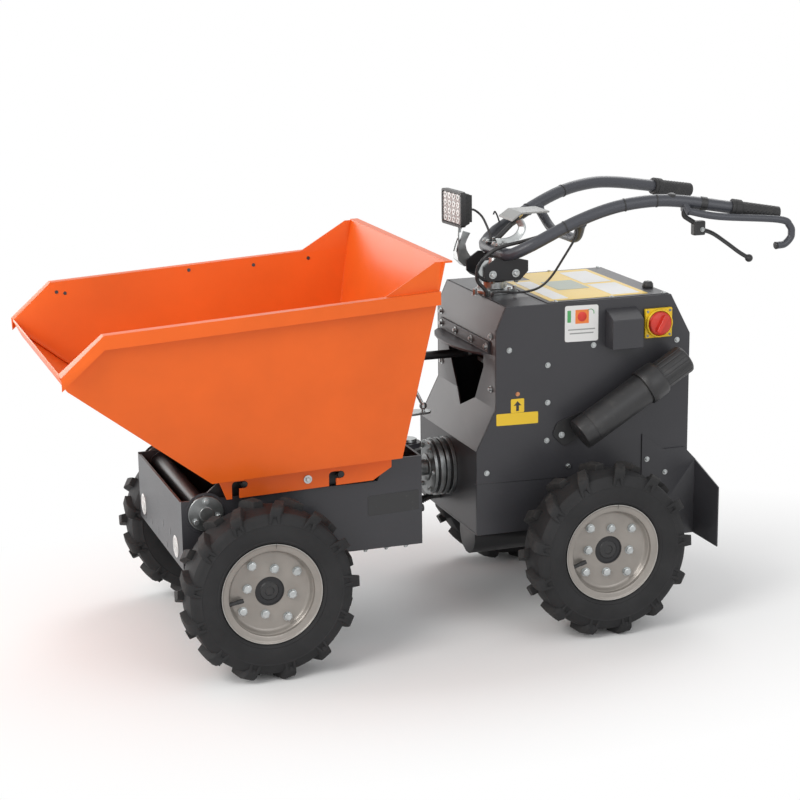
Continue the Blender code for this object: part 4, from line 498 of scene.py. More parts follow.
def from_bmesh(name, shape, smooth_angle=None):
    bmesh.ops.remove_doubles(shape, verts=shape.verts, dist=MERGE_GAP)
    bmesh.ops.recalc_face_normals(shape, faces=shape.faces)
    mesh = bpy.data.meshes.new(name)
    shape.to_mesh(mesh)
    shape.free()
    return shaded(mesh, smooth_angle)


def shaded(mesh, smooth_angle=None):
    if smooth_angle:
        mesh.shade_smooth()
        mesh.set_sharp_from_angle(angle=radians(smooth_angle))
    return mesh


def merged(name, meshes):
    """Several closed meshes as one mesh, their surfaces left as they are."""
    shape = bmesh.new()
    for mesh in meshes:
        shape.from_mesh(mesh)
        bpy.data.meshes.remove(mesh)
    mesh = bpy.data.meshes.new(name)
    shape.to_mesh(mesh)
    shape.free()
    return mesh


def lathe(profile, centre, axis, segments=64, closed=False, smooth_angle=35, wobble=None):
    """A shape turned about an axis, from places (along, radius); closed makes a ring."""
    turn = Vector(axis).to_track_quat("Z", "X").to_matrix()
    centre = Vector(centre)
    shape = bmesh.new()
    rings = []
    for along, radius in profile:
        if radius < 0.00001:
            rings.append([shape.verts.new(centre + turn @ Vector((0, 0, along)))])
            continue
        ring = []
        for step in range(segments):
            angle = 2 * pi * step / segments
            reach = radius + (wobble(angle, along) if wobble else 0)
            ring.append(shape.verts.new(
                centre + turn @ Vector((cos(angle) * reach, sin(angle) * reach, along))))
        rings.append(ring)
    pairs = list(zip(rings, rings[1:]))
    if closed:
        pairs.append((rings[-1], rings[0]))
    for low, high in pairs:
        for step in range(segments):
            after = (step + 1) % segments
            if len(low) == 1 and len(high) == 1:
                break
            if len(low) == 1:
                shape.faces.new((low[0], high[step], high[after]))
            elif len(high) == 1:
                shape.faces.new((low[step], low[after], high[0]))
            else:
                shape.faces.new((low[step], low[after], high[after], high[step]))
    if not closed:
        for ring in (rings[0], rings[-1]):
            if len(ring) > 2:
                shape.faces.new(ring)
    return from_bmesh("turned", shape, smooth_angle)


def frames_along(points):
    """A steady pair of side directions at each point of a line."""
    heading = (points[1] - points[0]).normalized()
    side = heading.orthogonal().normalized()
    frames = []
    for index in range(len(points)):
        before = points[max(index - 1, 0)]
        after = points[min(index + 1, len(points) - 1)]
        new_heading = (after - before).normalized()
        side = (side - new_heading * side.dot(new_heading)).normalized()
        frames.append((side, new_heading.cross(side)))
    return frames


def sweep(points, radius, sides=20, smooth_angle=50, radii=None, flat=1.0):
    """A tube along points, its ends closed; radii gives one radius for each point."""
    points = [Vector(point) for point in points]
    shape = bmesh.new()
    rings = []
    for index, (point, (side, up)) in enumerate(zip(points, frames_along(points))):
        reach = radii[index] if radii else radius
        rings.append([shape.verts.new(
            point + side * cos(2 * pi * step / sides) * reach
            + up * sin(2 * pi * step / sides) * reach * flat) for step in range(sides)])
    for low, high in zip(rings, rings[1:]):
        for step in range(sides):
            after = (step + 1) % sides
            shape.faces.new((low[step], low[after], high[after], high[step]))
    shape.faces.new(rings[0])
    shape.faces.new(rings[-1])
    return from_bmesh("swept", shape, smooth_angle)


def bevelled(shape, width, segments=2, angle=25):
    edges = [edge for edge in shape.edges
             if len(edge.link_faces) == 2 and edge.calc_face_angle() > radians(angle)]
    bmesh.ops.bevel(shape, geom=edges, offset=width, offset_type="OFFSET", segments=segments,
                    profile=0.6, affect="EDGES", clamp_overlap=True)


def block(low, high, width=0.0008, segments=2, taper=None):
    """A box between two corners with rounded edges."""
    shape = bmesh.new()
    low, high = Vector(low), Vector(high)
    middle = (low + high) / 2
    bmesh.ops.create_cube(shape, size=1)
    for vert in shape.verts:
        vert.co = Vector(vert.co * (high - low)) + middle
    if taper:
        taper(shape)
    if width:
        bevelled(shape, width, segments)
    return from_bmesh("block", shape)


PLANES = {
    "xz": lambda a, b, depth: Vector((a, depth, b)),
    "xy": lambda a, b, depth: Vector((a, b, depth)),
    "yz": lambda a, b, depth: Vector((depth, a, b)),
}


def slab(outline, low, high, plane="xz", width=0.0008, segments=2):
    """A flat outline in a plane, thickened between two depths, its edges rounded."""
    place = PLANES[plane]
    shape = bmesh.new()
    bottom = [shape.verts.new(place(a, b, low)) for a, b in outline]
    top = [shape.verts.new(place(a, b, high)) for a, b in outline]
    shape.faces.new(bottom)
    shape.faces.new(top[::-1])
    for index in range(len(outline)):
        after = (index + 1) % len(outline)
        shape.faces.new((bottom[index], top[index], top[after], bottom[after]))
    bmesh.ops.recalc_face_normals(shape, faces=shape.faces)
    if width:
        bevelled(shape, width, segments, 35)
    return from_bmesh("slab", shape)


def arc(centre, radius, start, stop, steps=10):
    """Places on an arc from one angle to another, in degrees."""
    return [(centre[0] + radius * cos(radians(start + (stop - start) * step / steps)),
             centre[1] + radius * sin(radians(start + (stop - start) * step / steps)))
            for step in range(steps + 1)]


def rounded(outline, radius):
    """An outline whose corners are rounded."""
    points = [Vector(point) for point in outline]
    result = []
    for index, here in enumerate(points):
        before = (points[index - 1] - here)
        after = (points[(index + 1) % len(points)] - here)
        reach = min(radius, before.length * 0.45, after.length * 0.45)
        start = here + before.normalized() * reach
        stop = here + after.normalized() * reach
        for step in range(CORNER_STEPS + 1):
            t = step / CORNER_STEPS
            result.append(tuple(start * (1 - t) ** 2 + here * 2 * t * (1 - t) + stop * t ** 2))
    return result


def evaluated(obj):
    """The object with its modifiers as a plain mesh; the object itself goes."""
    bpy.context.view_layer.update()
    graph = bpy.context.evaluated_depsgraph_get()
    mesh = bpy.data.meshes.new_from_object(obj.evaluated_get(graph))
    old = obj.data
    bpy.data.objects.remove(obj)
    bpy.data.meshes.remove(old)
    return mesh


def softened(node, look, body, slot, width):
    """A CAD node's plates with worn edges that catch the light, in place of the node."""
    shape = bmesh.new()
    shape.from_mesh(NODES[node].data)
    bmesh.ops.remove_doubles(shape, verts=shape.verts, dist=NODE_MERGE_GAP)
    bmesh.ops.dissolve_limit(shape, angle_limit=radians(FLAT_ANGLE), verts=shape.verts,
                             edges=shape.edges)
    mesh = bpy.data.meshes.new("soft_" + node)
    shape.to_mesh(mesh)
    shape.free()
    holder = bpy.data.objects.new("holder", mesh)
    bpy.context.scene.collection.objects.link(holder)
    bevel = holder.modifiers.new("worn_edges", "BEVEL")
    bevel.width = width
    bevel.segments = 2
    bevel.limit_method = "ANGLE"
    bevel.angle_limit = radians(EDGE_ANGLE)
    bevel.harden_normals = True
    shaded(mesh, CREASE_ANGLE)
    return piece(node + "_worn", evaluated(holder), look, body, node, slot=slot)


# Geometry Nodes trees for what repeats

def new_tree(name, inputs):
    """An empty geometry tree, functions that add nodes and sums to it, and its inputs."""
    tree = bpy.data.node_groups.new(name, "GeometryNodeTree")
    tree.interface.new_socket("Geometry", in_out="INPUT", socket_type="NodeSocketGeometry")
    tree.interface.new_socket("Geometry", in_out="OUTPUT", socket_type="NodeSocketGeometry")
    for label, kind in inputs:
        tree.interface.new_socket(label, in_out="INPUT", socket_type="NodeSocket" + kind)
    tree.nodes.new("NodeGroupInput")

    def add(kind, settings=None, sockets=None, out=0):
        node = tree.nodes.new(kind)
        for key, value in (settings or {}).items():
            setattr(node, key, value)
        for key, value in (sockets or {}).items():
            if isinstance(value, bpy.types.NodeSocket):
                tree.links.new(value, node.inputs[key])
            else:
                node.inputs[key].default_value = value
        return node.outputs[out]

    def sums(operation, *values):
        return add("ShaderNodeMath", {"operation": operation}, dict(enumerate(values)))

    return tree, add, sums, tree.nodes[0].outputs


def close_tree(tree, add, given, geometry):
    """Realizes what the tree made, gives it its finish and sends it out."""
    real = add("GeometryNodeRealizeInstances", sockets={0: geometry})
    done = add("GeometryNodeSetMaterial", sockets={"Geometry": real, "Material": given["Finish"]})
    output = tree.nodes.new("NodeGroupOutput")
    tree.links.new(done, output.inputs[0])
    return tree


def grow(tree, mesh, values):
    """The mesh as a tree changes it, with the tree's inputs set by their identifiers."""
    holder = bpy.data.objects.new("holder", mesh)
    bpy.context.scene.collection.objects.link(holder)
    modifier = holder.modifiers.new("grow", "NODES")
    modifier.node_group = tree
    for item in tree.interface.items_tree:
        if item.in_out == "INPUT" and item.name in values:
            modifier[item.identifier] = values[item.name]
    return evaluated(holder)


def fastener_tree():
    """Hexagon bolts with washers, one on each point, heads along the point's facing."""
    tree, add, sums, given = new_tree("fasteners", (
        ("Across Flats", "Float"), ("Head Height", "Float"), ("Washer Radius", "Float"),
        ("Washer Height", "Float"), ("Seed", "Int"), ("Finish", "Material")))
    circum = sums("MULTIPLY", given["Across Flats"], 1 / sqrt(3))
    head = add("GeometryNodeMeshCylinder", {}, {
        "Vertices": 6, "Radius": circum, "Depth": given["Head Height"]})
    crown_low = sums("MULTIPLY", circum, 0.9)
    crown_high = sums("MULTIPLY", circum, 0.72)
    crown_depth = sums("MULTIPLY", given["Head Height"], 0.16)
    crown = add("GeometryNodeMeshCone", {}, {
        "Vertices": 18, "Radius Bottom": crown_low, "Radius Top": crown_high, "Depth": crown_depth})
    washer = add("GeometryNodeMeshCylinder", {}, {
        "Vertices": 24, "Radius": given["Washer Radius"], "Depth": given["Washer Height"]})

    def lifted(geometry, *heights):
        total = heights[0]
        for height in heights[1:]:
            total = sums("ADD", total, height)
        offset = add("ShaderNodeCombineXYZ", {}, {2: total})
        return add("GeometryNodeTransform", {}, {"Geometry": geometry, "Translation": offset})

    def half(value):
        return sums("MULTIPLY", value, 0.5)

    joined = tree.nodes.new("GeometryNodeJoinGeometry")
    for part in (lifted(washer, half(given["Washer Height"])),
                 lifted(head, given["Washer Height"], half(given["Head Height"])),
                 lifted(crown, given["Washer Height"], given["Head Height"])):
        tree.links.new(part, joined.inputs[0])
    facing = add("GeometryNodeInputNamedAttribute", {"data_type": "FLOAT_VECTOR"},
                 {"Name": "facing"})
    toward = add("FunctionNodeAlignRotationToVector", {"axis": "Z"}, {"Vector": facing})
    spin = add("FunctionNodeRandomValue", {"data_type": "FLOAT"}, {
        2: 0.0, 3: 2 * pi, "Seed": given["Seed"]}, 1)
    turn = add("FunctionNodeAxisAngleToRotation", {}, {"Axis": (0, 0, 1), "Angle": spin})
    both = add("FunctionNodeRotateRotation", {"rotation_space": "LOCAL"}, {
        "Rotation": toward, "Rotate By": turn})
    placed = add("GeometryNodeInstanceOnPoints", {}, {
        "Points": given["Geometry"], "Instance": joined.outputs[0], "Rotation": both})
    return close_tree(tree, add, given, placed)


def ring_tree():
    """The given mesh repeated round the Y axis, then moved to a centre."""
    tree, add, sums, given = new_tree("ring", (
        ("Count", "Int"), ("Phase", "Float"), ("Centre", "Vector"), ("Finish", "Material")))
    single = add("GeometryNodeGeometryToInstance", {}, {0: given["Geometry"]})
    points = add("GeometryNodePoints", {}, {"Count": given["Count"]})
    index = add("GeometryNodeInputIndex")
    step = sums("DIVIDE", 2 * pi, given["Count"])
    turned = sums("MULTIPLY_ADD", index, step, given["Phase"])
    turn = add("FunctionNodeAxisAngleToRotation", {}, {"Axis": (0, 1, 0), "Angle": turned})
    placed = add("GeometryNodeInstanceOnPoints", {}, {
        "Points": points, "Instance": single, "Rotation": turn})
    moved = add("GeometryNodeTransform", {}, {"Geometry": placed, "Translation": given["Centre"]})
    return close_tree(tree, add, given, moved)


def row_tree():
    """The given mesh repeated at even steps along a line."""
    tree, add, _, given = new_tree("row", (
        ("Count", "Int"), ("Step", "Vector"), ("Finish", "Material")))
    single = add("GeometryNodeGeometryToInstance", {}, {0: given["Geometry"]})
    points = add("GeometryNodePoints", {}, {"Count": given["Count"]})
    index = add("GeometryNodeInputIndex")
    along = add("ShaderNodeVectorMath", {"operation": "SCALE"}, {
        0: given["Step"], "Scale": index})
    apart = add("GeometryNodeSetPosition", {}, {"Geometry": points, "Position": along})
    placed = add("GeometryNodeInstanceOnPoints", {}, {"Points": apart, "Instance": single})
    return close_tree(tree, add, given, placed)


def corrugated_tree():
    """A ribbed hose along the given mesh line."""
    tree, add, sums, given = new_tree("corrugated", (
        ("Radius", "Float"), ("Rib", "Float"), ("Pitch", "Float"), ("Finish", "Material")))
    line = add("GeometryNodeMeshToCurve", {}, {0: given["Geometry"]})
    fine = sums("DIVIDE", given["Pitch"], 8.0)
    even = add("GeometryNodeResampleCurve", {"mode": "LENGTH"}, {"Curve": line, "Length": fine})
    travelled = add("GeometryNodeSplineParameter", {}, {}, 1)
    turns = sums("DIVIDE", travelled, given["Pitch"])
    wave = sums("SINE", sums("MULTIPLY", turns, 2 * pi))
    reach = sums("MULTIPLY_ADD", wave, given["Rib"], given["Radius"])
    circle = add("GeometryNodeCurvePrimitiveCircle", {}, {"Resolution": 20, "Radius": 1.0})
    tube = add("GeometryNodeCurveToMesh", {}, {
        "Curve": even, "Profile Curve": circle, "Scale": reach, "Fill Caps": True})
    return close_tree(tree, add, given, tube)


TREES = {}


def bolts(name, places, body, flats=0.013, height=0.0055, washer=0.011, look="zinc", seed=1,
          thin=0.0015):
    """Hexagon bolts at (place, facing) pairs, as one piece."""
    mesh = bpy.data.meshes.new(name)
    mesh.from_pydata([tuple(place) for place, facing in places], [], [])
    facings = mesh.attributes.new("facing", "FLOAT_VECTOR", "POINT")
    facings.data.foreach_set("vector", [value for place, facing in places for value in facing])
    result = grow(TREES["fasteners"], mesh, {
        "Across Flats": flats, "Head Height": height, "Washer Radius": washer,
        "Washer Height": thin, "Seed": seed, "Finish": LOOK[look]})
    return piece(name, result, look, body)


def line_mesh(points):
    mesh = bpy.data.meshes.new("line")
    mesh.from_pydata([tuple(point) for point in points],
                     [(index, index + 1) for index in range(len(points) - 1)], [])
    return mesh


# Wheels

SIDES = ((-1, "left"), (1, "right"))
WHEELS = [
    (end, label, side, Vector((axle.x, side * abs(axle.y), axle.z)))
    for end, axle in (("front", FRONT_AXLE), ("rear", REAR_AXLE))
    for side, label in SIDES]
DISC_FACE = 0.0185
BOLT_TURNS = {"front_left": -13, "rear_left": -6, "front_right": 20, "rear_right": 35}
LUG_STATIONS = (
    (0.0015, 0.0, 0.0015, -0.018, 0.011, 0.0098, 0.0125),
    (0.019, 0.0, 0.019, -0.018, 0.0045, 0.0108, 0.0136),
    (0.036, -0.0006, 0.0345, -0.02, -0.003, 0.012, 0.0146),
    (0.0462, -0.0042, 0.042, -0.024, -0.0075, 0.0126, 0.015),
    (0.0512, -0.012, 0.0445, -0.028, -0.01, 0.0124, 0.0146),
    (0.0522, -0.0215, 0.0465, -0.031, -0.0115, 0.0114, 0.0132))
LUG_RIB_STATIONS = (
    (0.0518, -0.019, 0.047, -0.023, 0.0038, 0.0046),
    (0.0527, -0.028, 0.048, -0.03, 0.0033, 0.0042),
    (0.0524, -0.036, 0.049, -0.037, 0.0026, 0.0036),
    (0.0514, -0.0425, 0.0495, -0.0425, 0.0016, 0.0026))
LUG_RIBS = (((-0.019, -0.0205), (-0.021, -0.0222)), ((-0.004, -0.0034), (-0.0022, -0.0014)))


def ringed(shape, rings):
    """Closes a run of four-sided rings into a solid."""
    for low, high in zip(rings, rings[1:]):
        for step in range(4):
            after = (step + 1) % 4
            shape.faces.new((low[step], low[after], high[after], high[step]))
    shape.faces.new(rings[0])
    shape.faces.new(rings[-1])


def lug_mesh(side):
    """One tread lug at the top of a wheel, with the two ribs that it sends down the side wall."""
    radius = sizes().tyre_radius
    shape = bmesh.new()

    def ring(out_y, out_r, in_y, in_r, shift, out_half, in_half):
        return [shape.verts.new(place) for place in (
            (shift - out_half, side * out_y, radius + out_r),
            (shift + out_half, side * out_y, radius + out_r),
            (shift + in_half, side * in_y, radius + in_r),
            (shift - in_half, side * in_y, radius + in_r))]

    ringed(shape, [ring(*station) for station in LUG_STATIONS])
    for places in LUG_RIBS:
        shifts = [shift for pair in places for shift in pair]
        ringed(shape, [ring(*station[:4], shift, *station[4:])
                       for station, shift in zip(LUG_RIB_STATIONS, shifts)])
    for vert in shape.verts:
        vert.co.z = sqrt(vert.co.z ** 2 - vert.co.x ** 2)
    bmesh.ops.recalc_face_normals(shape, faces=shape.faces)
    bevelled(shape, 0.0007, 1, 30)
    return from_bmesh("lug", shape, 30)


CARCASS = (
    (0.0362, 0.1024), (0.0366, 0.11), (0.0388, 0.116), (0.0432, 0.1178), (0.0462, 0.1205),
    (0.0474, 0.1232), (0.0466, 0.125), (0.0472, 0.1268), (0.0492, 0.133), (0.0506, 0.142),
    (0.0512, 0.152), (0.0511, 0.1592), (0.0519, 0.1606), (0.0519, 0.1622), (0.0506, 0.1638),
    (0.0492, 0.172), (0.0462, 0.1795), (0.0408, 0.1848), (0.026, 0.188))
CARCASS_INSIDE = (
    (0.033, 0.179), (0.041, 0.17), (0.044, 0.15), (0.042, 0.13), (0.033, 0.115),
    (0.031, 0.1024))


def both_halves(half, top):
    return [*half, (0, top), *flipped(half)]


def mark_wear(mesh, wear_at):
    """Writes how worn each point is, from a function of its place."""
    wear = mesh.attributes.new("wear", "FLOAT", "POINT")
    wear.data.foreach_set("value", [
        max(0.0, min(1.0, wear_at(vert.co))) for vert in mesh.vertices])


class DUMPER_OT_tyres(bpy.types.Operator):
    """Tyres: a ribbed carcass with raised rings, and two staggered rings of slanted lugs"""
    bl_idname = "dumper.tyres"
    bl_label = "Tyres"

    def execute(self, context):
        for end, label, _, centre in WHEELS:
            profile = [*both_halves(CARCASS, 0.189), *flipped(CARCASS_INSIDE), (0, 0.1815),
                       *CARCASS_INSIDE]
            parts = [lathe(profile, centre, (0, 1, 0), 96, True, 30)]
            count = sizes().lug_count
            for lug_side in (-1, 1):
                phase = (0.5 if lug_side > 0 else 0.0) * 2 * pi / count
                parts.append(grow(TREES["ring"], lug_mesh(lug_side), {
                    "Count": count, "Phase": phase + 0.11, "Centre": tuple(centre),
                    "Finish": LOOK["rubber"]}))
            mesh = merged("tyre", parts)
            top = sizes().tyre_radius

            def worn(place):
                reach = sqrt((place.x - centre.x) ** 2 + (place.z - centre.z) ** 2)
                return (reach - (top - 0.0085)) / 0.006

            mark_wear(mesh, worn)
            piece(f"{end}_{label}_tyre_tread", mesh, "rubber", f"{end}_{label}_wheel",
                  f"{end}_{label}_tyre", slot="tyre_rubber")
        return {"FINISHED"}


RIM_FACE = (
    (DISC_FACE, 0.0335), (DISC_FACE, 0.086), (0.0194, 0.0892), (0.0226, 0.0926),
    (0.029, 0.0948), (0.0312, 0.0972), (0.0385, 0.0984), (0.0396, 0.1004), (0.04, 0.1082),
    (0.041, 0.1112), (0.0424, 0.1124), (0.0432, 0.1136), (0.0431, 0.1148), (0.042, 0.1153),
    (0.0404, 0.1146), (0.0392, 0.112), (0.0386, 0.1036), (0.0374, 0.1014), (0.025, 0.1008),
    (0.015, 0.0915))
RIM_BACK = (
    (-0.015, 0.0915), (-0.025, 0.1008), (-0.0374, 0.1014), (-0.0386, 0.1036),
    (-0.0392, 0.112), (-0.0404, 0.1146), (-0.042, 0.1153), (-0.0431, 0.1148),
    (-0.0432, 0.1136), (-0.041, 0.1112), (-0.04, 0.1082), (-0.0396, 0.1004),
    (-0.0385, 0.0984), (-0.025, 0.0972), (-0.016, 0.088), (0.009, 0.088),
    (0.0145, 0.085), (0.0145, 0.0335))
HUB_CAP = (
    (0.004, 0.0), (0.004, 0.0332), (0.0172, 0.0332), (0.0176, 0.0326), (0.0172, 0.0318),
    (0.0075, 0.0312), (0.007, 0.0236), (0.015, 0.0222), (0.0172, 0.0196), (0.0178, 0.011),
    (0.016, 0.01), (0.0156, 0.0))


class DUMPER_OT_rims(bpy.types.Operator):
    """Pressed rims with worn lips, hub caps, valves and a square grid of eight bolts"""
    bl_idname = "dumper.rims"
    bl_label = "Rims"

    def execute(self, context):
        pitch = sizes().bolt_pitch
        for end, label, side, centre in WHEELS:
            body = f"{end}_{label}_wheel"
            outward = Vector((0, side, 0))
            mesh = lathe([*RIM_FACE, *RIM_BACK], centre, outward, 96, True, 32)
            lip = sizes().rim_radius

            def rubbed(place):
                reach = sqrt((place.x - centre.x) ** 2 + (place.z - centre.z) ** 2)
                return (reach - (lip - 0.003)) / 0.002

            mark_wear(mesh, rubbed)
            piece(body + "_dish", mesh, "rim", body, f"{end}_{label}_rim", slot="rim_enamel")
            piece(body + "_cap", lathe(HUB_CAP, centre, outward, 48), "plastic", body,
                  f"{end}_{label}_hub_cap", slot="black_parts")
            turn = radians(BOLT_TURNS[f"{end}_{label}"])
            heads = []
            for row in (-1, 0, 1):
                for column in (-1, 0, 1):
                    if row or column:
                        across, up = column * pitch, row * pitch
                        heads.append((centre + outward * DISC_FACE + Vector((
                            across * cos(turn) - up * sin(turn), 0,
                            across * sin(turn) + up * cos(turn))), tuple(outward)))
            bolts(body + "_bolts", heads, body, 0.0164, 0.0062, 0.0104, seed=len(body) + len(end))
            toward = Vector((cos(turn + radians(203)), 0, sin(turn + radians(203))))
            root = centre + outward * 0.0285
            stem = sweep([root + toward * 0.0965, root + toward * 0.09, root + toward * 0.078,
                          root + toward * 0.0775, root + toward * 0.064],
                         0.004, 16, radii=[0.005, 0.0046, 0.0044, 0.0052, 0.005])
            piece(body + "_valve", stem, "soft", body)
            glints = [(centre + outward * 0.0072 + Vector((0.0275 * cos(angle), 0,
                                                           0.0275 * sin(angle))), tuple(outward))
                      for angle in [turn + radians(step) for step in (22, -10, -42, -75)]]
            bolts(body + "_hub_nuts", glints, body, 0.0046, 0.0026, 0.0028, seed=3, thin=0.0005)
            seam = centre + Vector((0.012, side * 0.0432, 0.1136))
            piece(body + "_seam", sweep([seam + Vector((-0.0008, side * 0.0003, -0.0086)),
                                         seam + Vector((0.0004, side * 0.0005, -0.001)),
                                         seam + Vector((0.0006, -side * 0.0006, 0.0012))],
                                        0.0005, 8), "label_black", body)
        return {"FINISHED"}


# Skip and its tipping gear

SKIP_FLOOR_HALF, SKIP_RIM_HALF = 0.272, 0.326
SKIP_FLOOR_Z, SKIP_RIM_Z = 0.449, 0.845


def skip_half(z):
    """Half the width between the skip's side sheets at a height."""
    return SKIP_FLOOR_HALF + (SKIP_RIM_HALF - SKIP_FLOOR_HALF) * (
        z - SKIP_FLOOR_Z) / (SKIP_RIM_Z - SKIP_FLOOR_Z)


WELD_RADIUS = 0.0024


def weld(name, points, body, look):
    """A bead of weld along points, with its ripples."""
    mesh = grow(TREES["corrugated"], line_mesh(points), {
        "Radius": WELD_RADIUS, "Rib": WELD_RADIUS * 0.16, "Pitch": 0.0042,
        "Finish": LOOK[look]})
    return piece(name, shaded(mesh, 60), look, body)


class DUMPER_OT_skip(bpy.types.Operator):
    """Skip with its hook rails and tip frame, weld beads, rail bolts, and black discs of painted shade
    where the rim holes are
    """
    bl_idname = "dumper.skip"
    bl_label = "Skip"

    def execute(self, context):
        softened("skip_shell", "orange", "skip", "skip_paint", 0.0015)
        for label in ("left", "right"):
            softened("hook_rail_" + label, "orange", "skip", "skip_paint", 0.0009)
        softened("tip_frame", "black_steel", "skip", "black_steel", 0.0008)
        for side, label in SIDES:
            inset = side * 0.0036
            weld(f"rear_corner_weld_{label}", spots(
                [(0.326 + (0.4 - 0.328) * t, side * skip_half(0.467 + 0.372 * t) - inset,
                  0.467 + 0.372 * t) for t in (0, 0.25, 0.5, 0.75, 1)]), "skip", "orange")
            weld(f"floor_weld_{label}", spots(
                [(-0.106, side * skip_half(0.4525) - inset, 0.4525),
                 (0.11, side * skip_half(0.4595) - inset, 0.4595),
                 (0.326, side * skip_half(0.4665) - inset, 0.4665)]), "skip", "orange")
            weld(f"slope_weld_{label}", spots(
                [(-0.106 - 0.306 * t, side * skip_half(0.453 + 0.238 * t) - inset,
                  0.4535 + 0.24 * t) for t in (0, 0.33, 0.66, 1)]), "skip", "orange")
            # Painted shade: flat black discs stand for the dark insides of the holes near the rim.
            hole_shades = [disc_on(spot(x, side * (skip_half(z) - 0.0024), z), (0, -side, 0.14), 0.0042,
                             0.0005, 24)
                     for x, z in ((-0.33, 0.786), (-0.31, 0.782), (-0.006, 0.815),
                                  (0.156, 0.816), (0.296, 0.823))]
            piece(f"rim_hole_shade_{label}", merged("hole_shades", hole_shades), "label_black", "skip")
            y = side * (0.2405 + 0.0003)
            bolts(f"hook_rail_bolt_{label}", [(spot(0.118, y, 0.425), (0, side, 0))], "skip",
                  0.01, 0.005, 0.0095, seed=5)
        return {"FINISHED"}


class DUMPER_OT_tip_shaft(bpy.types.Operator):
    """Bright tipping shaft with a bolted flange on each side"""
    bl_idname = "dumper.tip_shaft"
    bl_label = "Tip shaft"

    def execute(self, context):
        centre = spot(-0.116, 0, 0.369)
        face = 0.2283
        half = [(0.0, 0.016), (face - 0.012, 0.016), (face, 0.0163), (face + 0.0002, 0.039),
                (face + 0.001, 0.0399), (face + 0.0062, 0.0399), (face + 0.007, 0.039),
                (face + 0.007, 0.0175), (face + 0.0072, 0.016), (face + 0.0112, 0.0158),
                (face + 0.012, 0.0148), (face + 0.0114, 0.006), (face + 0.0114, 0.0)]
        profile = [*flipped(half), *half[1:]]
        piece("tip_shaft_turned", lathe(profile, centre, (0, 1, 0), 64), "steel", "front_chassis",
              "tip_shaft", slot="zinc_plate")
        for side, label in SIDES:
            places = [(centre + Vector((x, side * (face + 0.007), z)), (0, side, 0))
                      for x, z in on_circle(0.0285, (90, 213, 345))]
            bolts(f"tip_flange_bolts_{label}", places, "front_chassis", 0.01, 0.0046, 0.0085,
                  seed=9, thin=0.0012)
            ring = lathe([(face + 0.0001, 0.0405), (face + 0.0012, 0.0405),
                          (face + 0.0012, 0.0462), (face + 0.0001, 0.0466)],
                         centre, (0, side, 0), 64, True)
            piece(f"tip_flange_seat_{label}", ring, "charcoal", "front_chassis")
        return {"FINISHED"}


# Front half of the chassis

def disc_on(place, facing, radius, thick=0.0008, segments=40):
    """A thin round label or plug with a rounded rim, standing on a face."""
    profile = [(0.0, 0.0), (0.0, radius), (thick * 0.6, radius), (thick, radius * 0.97),
               (thick, 0.0)]
    return lathe(profile, place, facing, segments)


FRONT_PLATE_X = -0.1702
FRONT_SKIN = 0.2281


class DUMPER_OT_front_chassis(bpy.types.Operator):
    """Front trough of plate, axle, steering mast and the small pieces on them"""
    bl_idname = "dumper.front_chassis"
    bl_label = "Front chassis"

    def execute(self, context):
        softened("front_frame", "charcoal", "front_chassis", "chassis_paint", 0.0012)
        softened("front_axle", "black_steel", "front_chassis", "black_steel", 0.001)
        softened("steering_mast", "zinc", "front_chassis", "zinc_plate", 0.0008)
        for index, (y, z) in enumerate(((0.183, 0.2805), (-0.159, 0.277))):
            place = spot(FRONT_PLATE_X, y, z)
            disc = [disc_on(place, (-1, 0, 0), 0.0255, 0.001, 56),
                    lathe([(0.001, 0.0205), (0.0018, 0.02), (0.0018, 0.0178), (0.001, 0.0172)],
                          place, (-1, 0, 0), 48, True)]
            disc += [disc_on(place + Vector((-0.0009, lean, 0)), (-1, 0, 0), 0.0045, 0.0008, 20)
                     for lean in (-0.0085, 0.0085)]
            piece(f"front_disc_{index}", merged("disc", disc), "disc", "front_chassis")
        # Painted shade: flush black stadium shapes stand for the dark insides of the slots in the
        # front plate.
        meshes = []
        for y, z in ((0.15, 0.3), (0.163, 0.259), (0.098, 0.262), (0.026, 0.26),
                     (-0.03, 0.2955), (-0.06, 0.252), (-0.102, 0.296)):
            outline = (arc((y, z + 0.005), 0.0038, 0, 180, 6)
                       + arc((y, z - 0.005), 0.0038, 180, 360, 6))
            meshes.append(slab(outline, spot(-0.1704, 0, 0).x, spot(-0.1698, 0, 0).x, "yz", 0))
        piece("front_plate_slot_shade", merged("slot_shades", meshes), "label_black", "front_chassis")
        for side, label in SIDES:
            y = side * FRONT_SKIN
            outline = shifted(rounded(
                ((0.262, 0.319), (0.384, 0.323), (0.384, 0.37), (0.262, 0.366)), 0.003))
            piece(f"side_panel_label_{label}", slab(outline, y, y + side * 0.0006, "xz", 0),
                  "label_black", "front_chassis")
            studs = [(spot(x, side * 0.2245, 0.2402), (0, 0, -1)) for x in (0.255, 0.305, 0.352)]
            bolts(f"belly_studs_{label}", studs, "front_chassis", 0.0075, 0.004, 0.0065, seed=4,
                  thin=0.0008)
        knob = lathe([(0.0, 0.0), (0.0, 0.0105), (0.004, 0.0105), (0.0045, 0.0085),
                      (0.01, 0.0085), (0.011, 0.0075), (0.011, 0.0)],
                     spot(0.3921, -0.205, 0.318), (1, 0, 0), 32)
        piece("tail_knob", knob, "plastic", "front_chassis")
        stub = lathe([(0.0, 0.0), (0.0, 0.013), (0.016, 0.013), (0.0175, 0.0115),
                      (0.0175, 0.0)], spot(0.3921, -0.15, 0.425), (1, 0, 0), 36)
        piece("tail_stub", stub, "black_steel", "front_chassis")
        return {"FINISHED"}


KINGPIN_X, COLUMN_X = 0.44, 0.66
ARM_REACH = 0.06
HUB_Z = 0.353


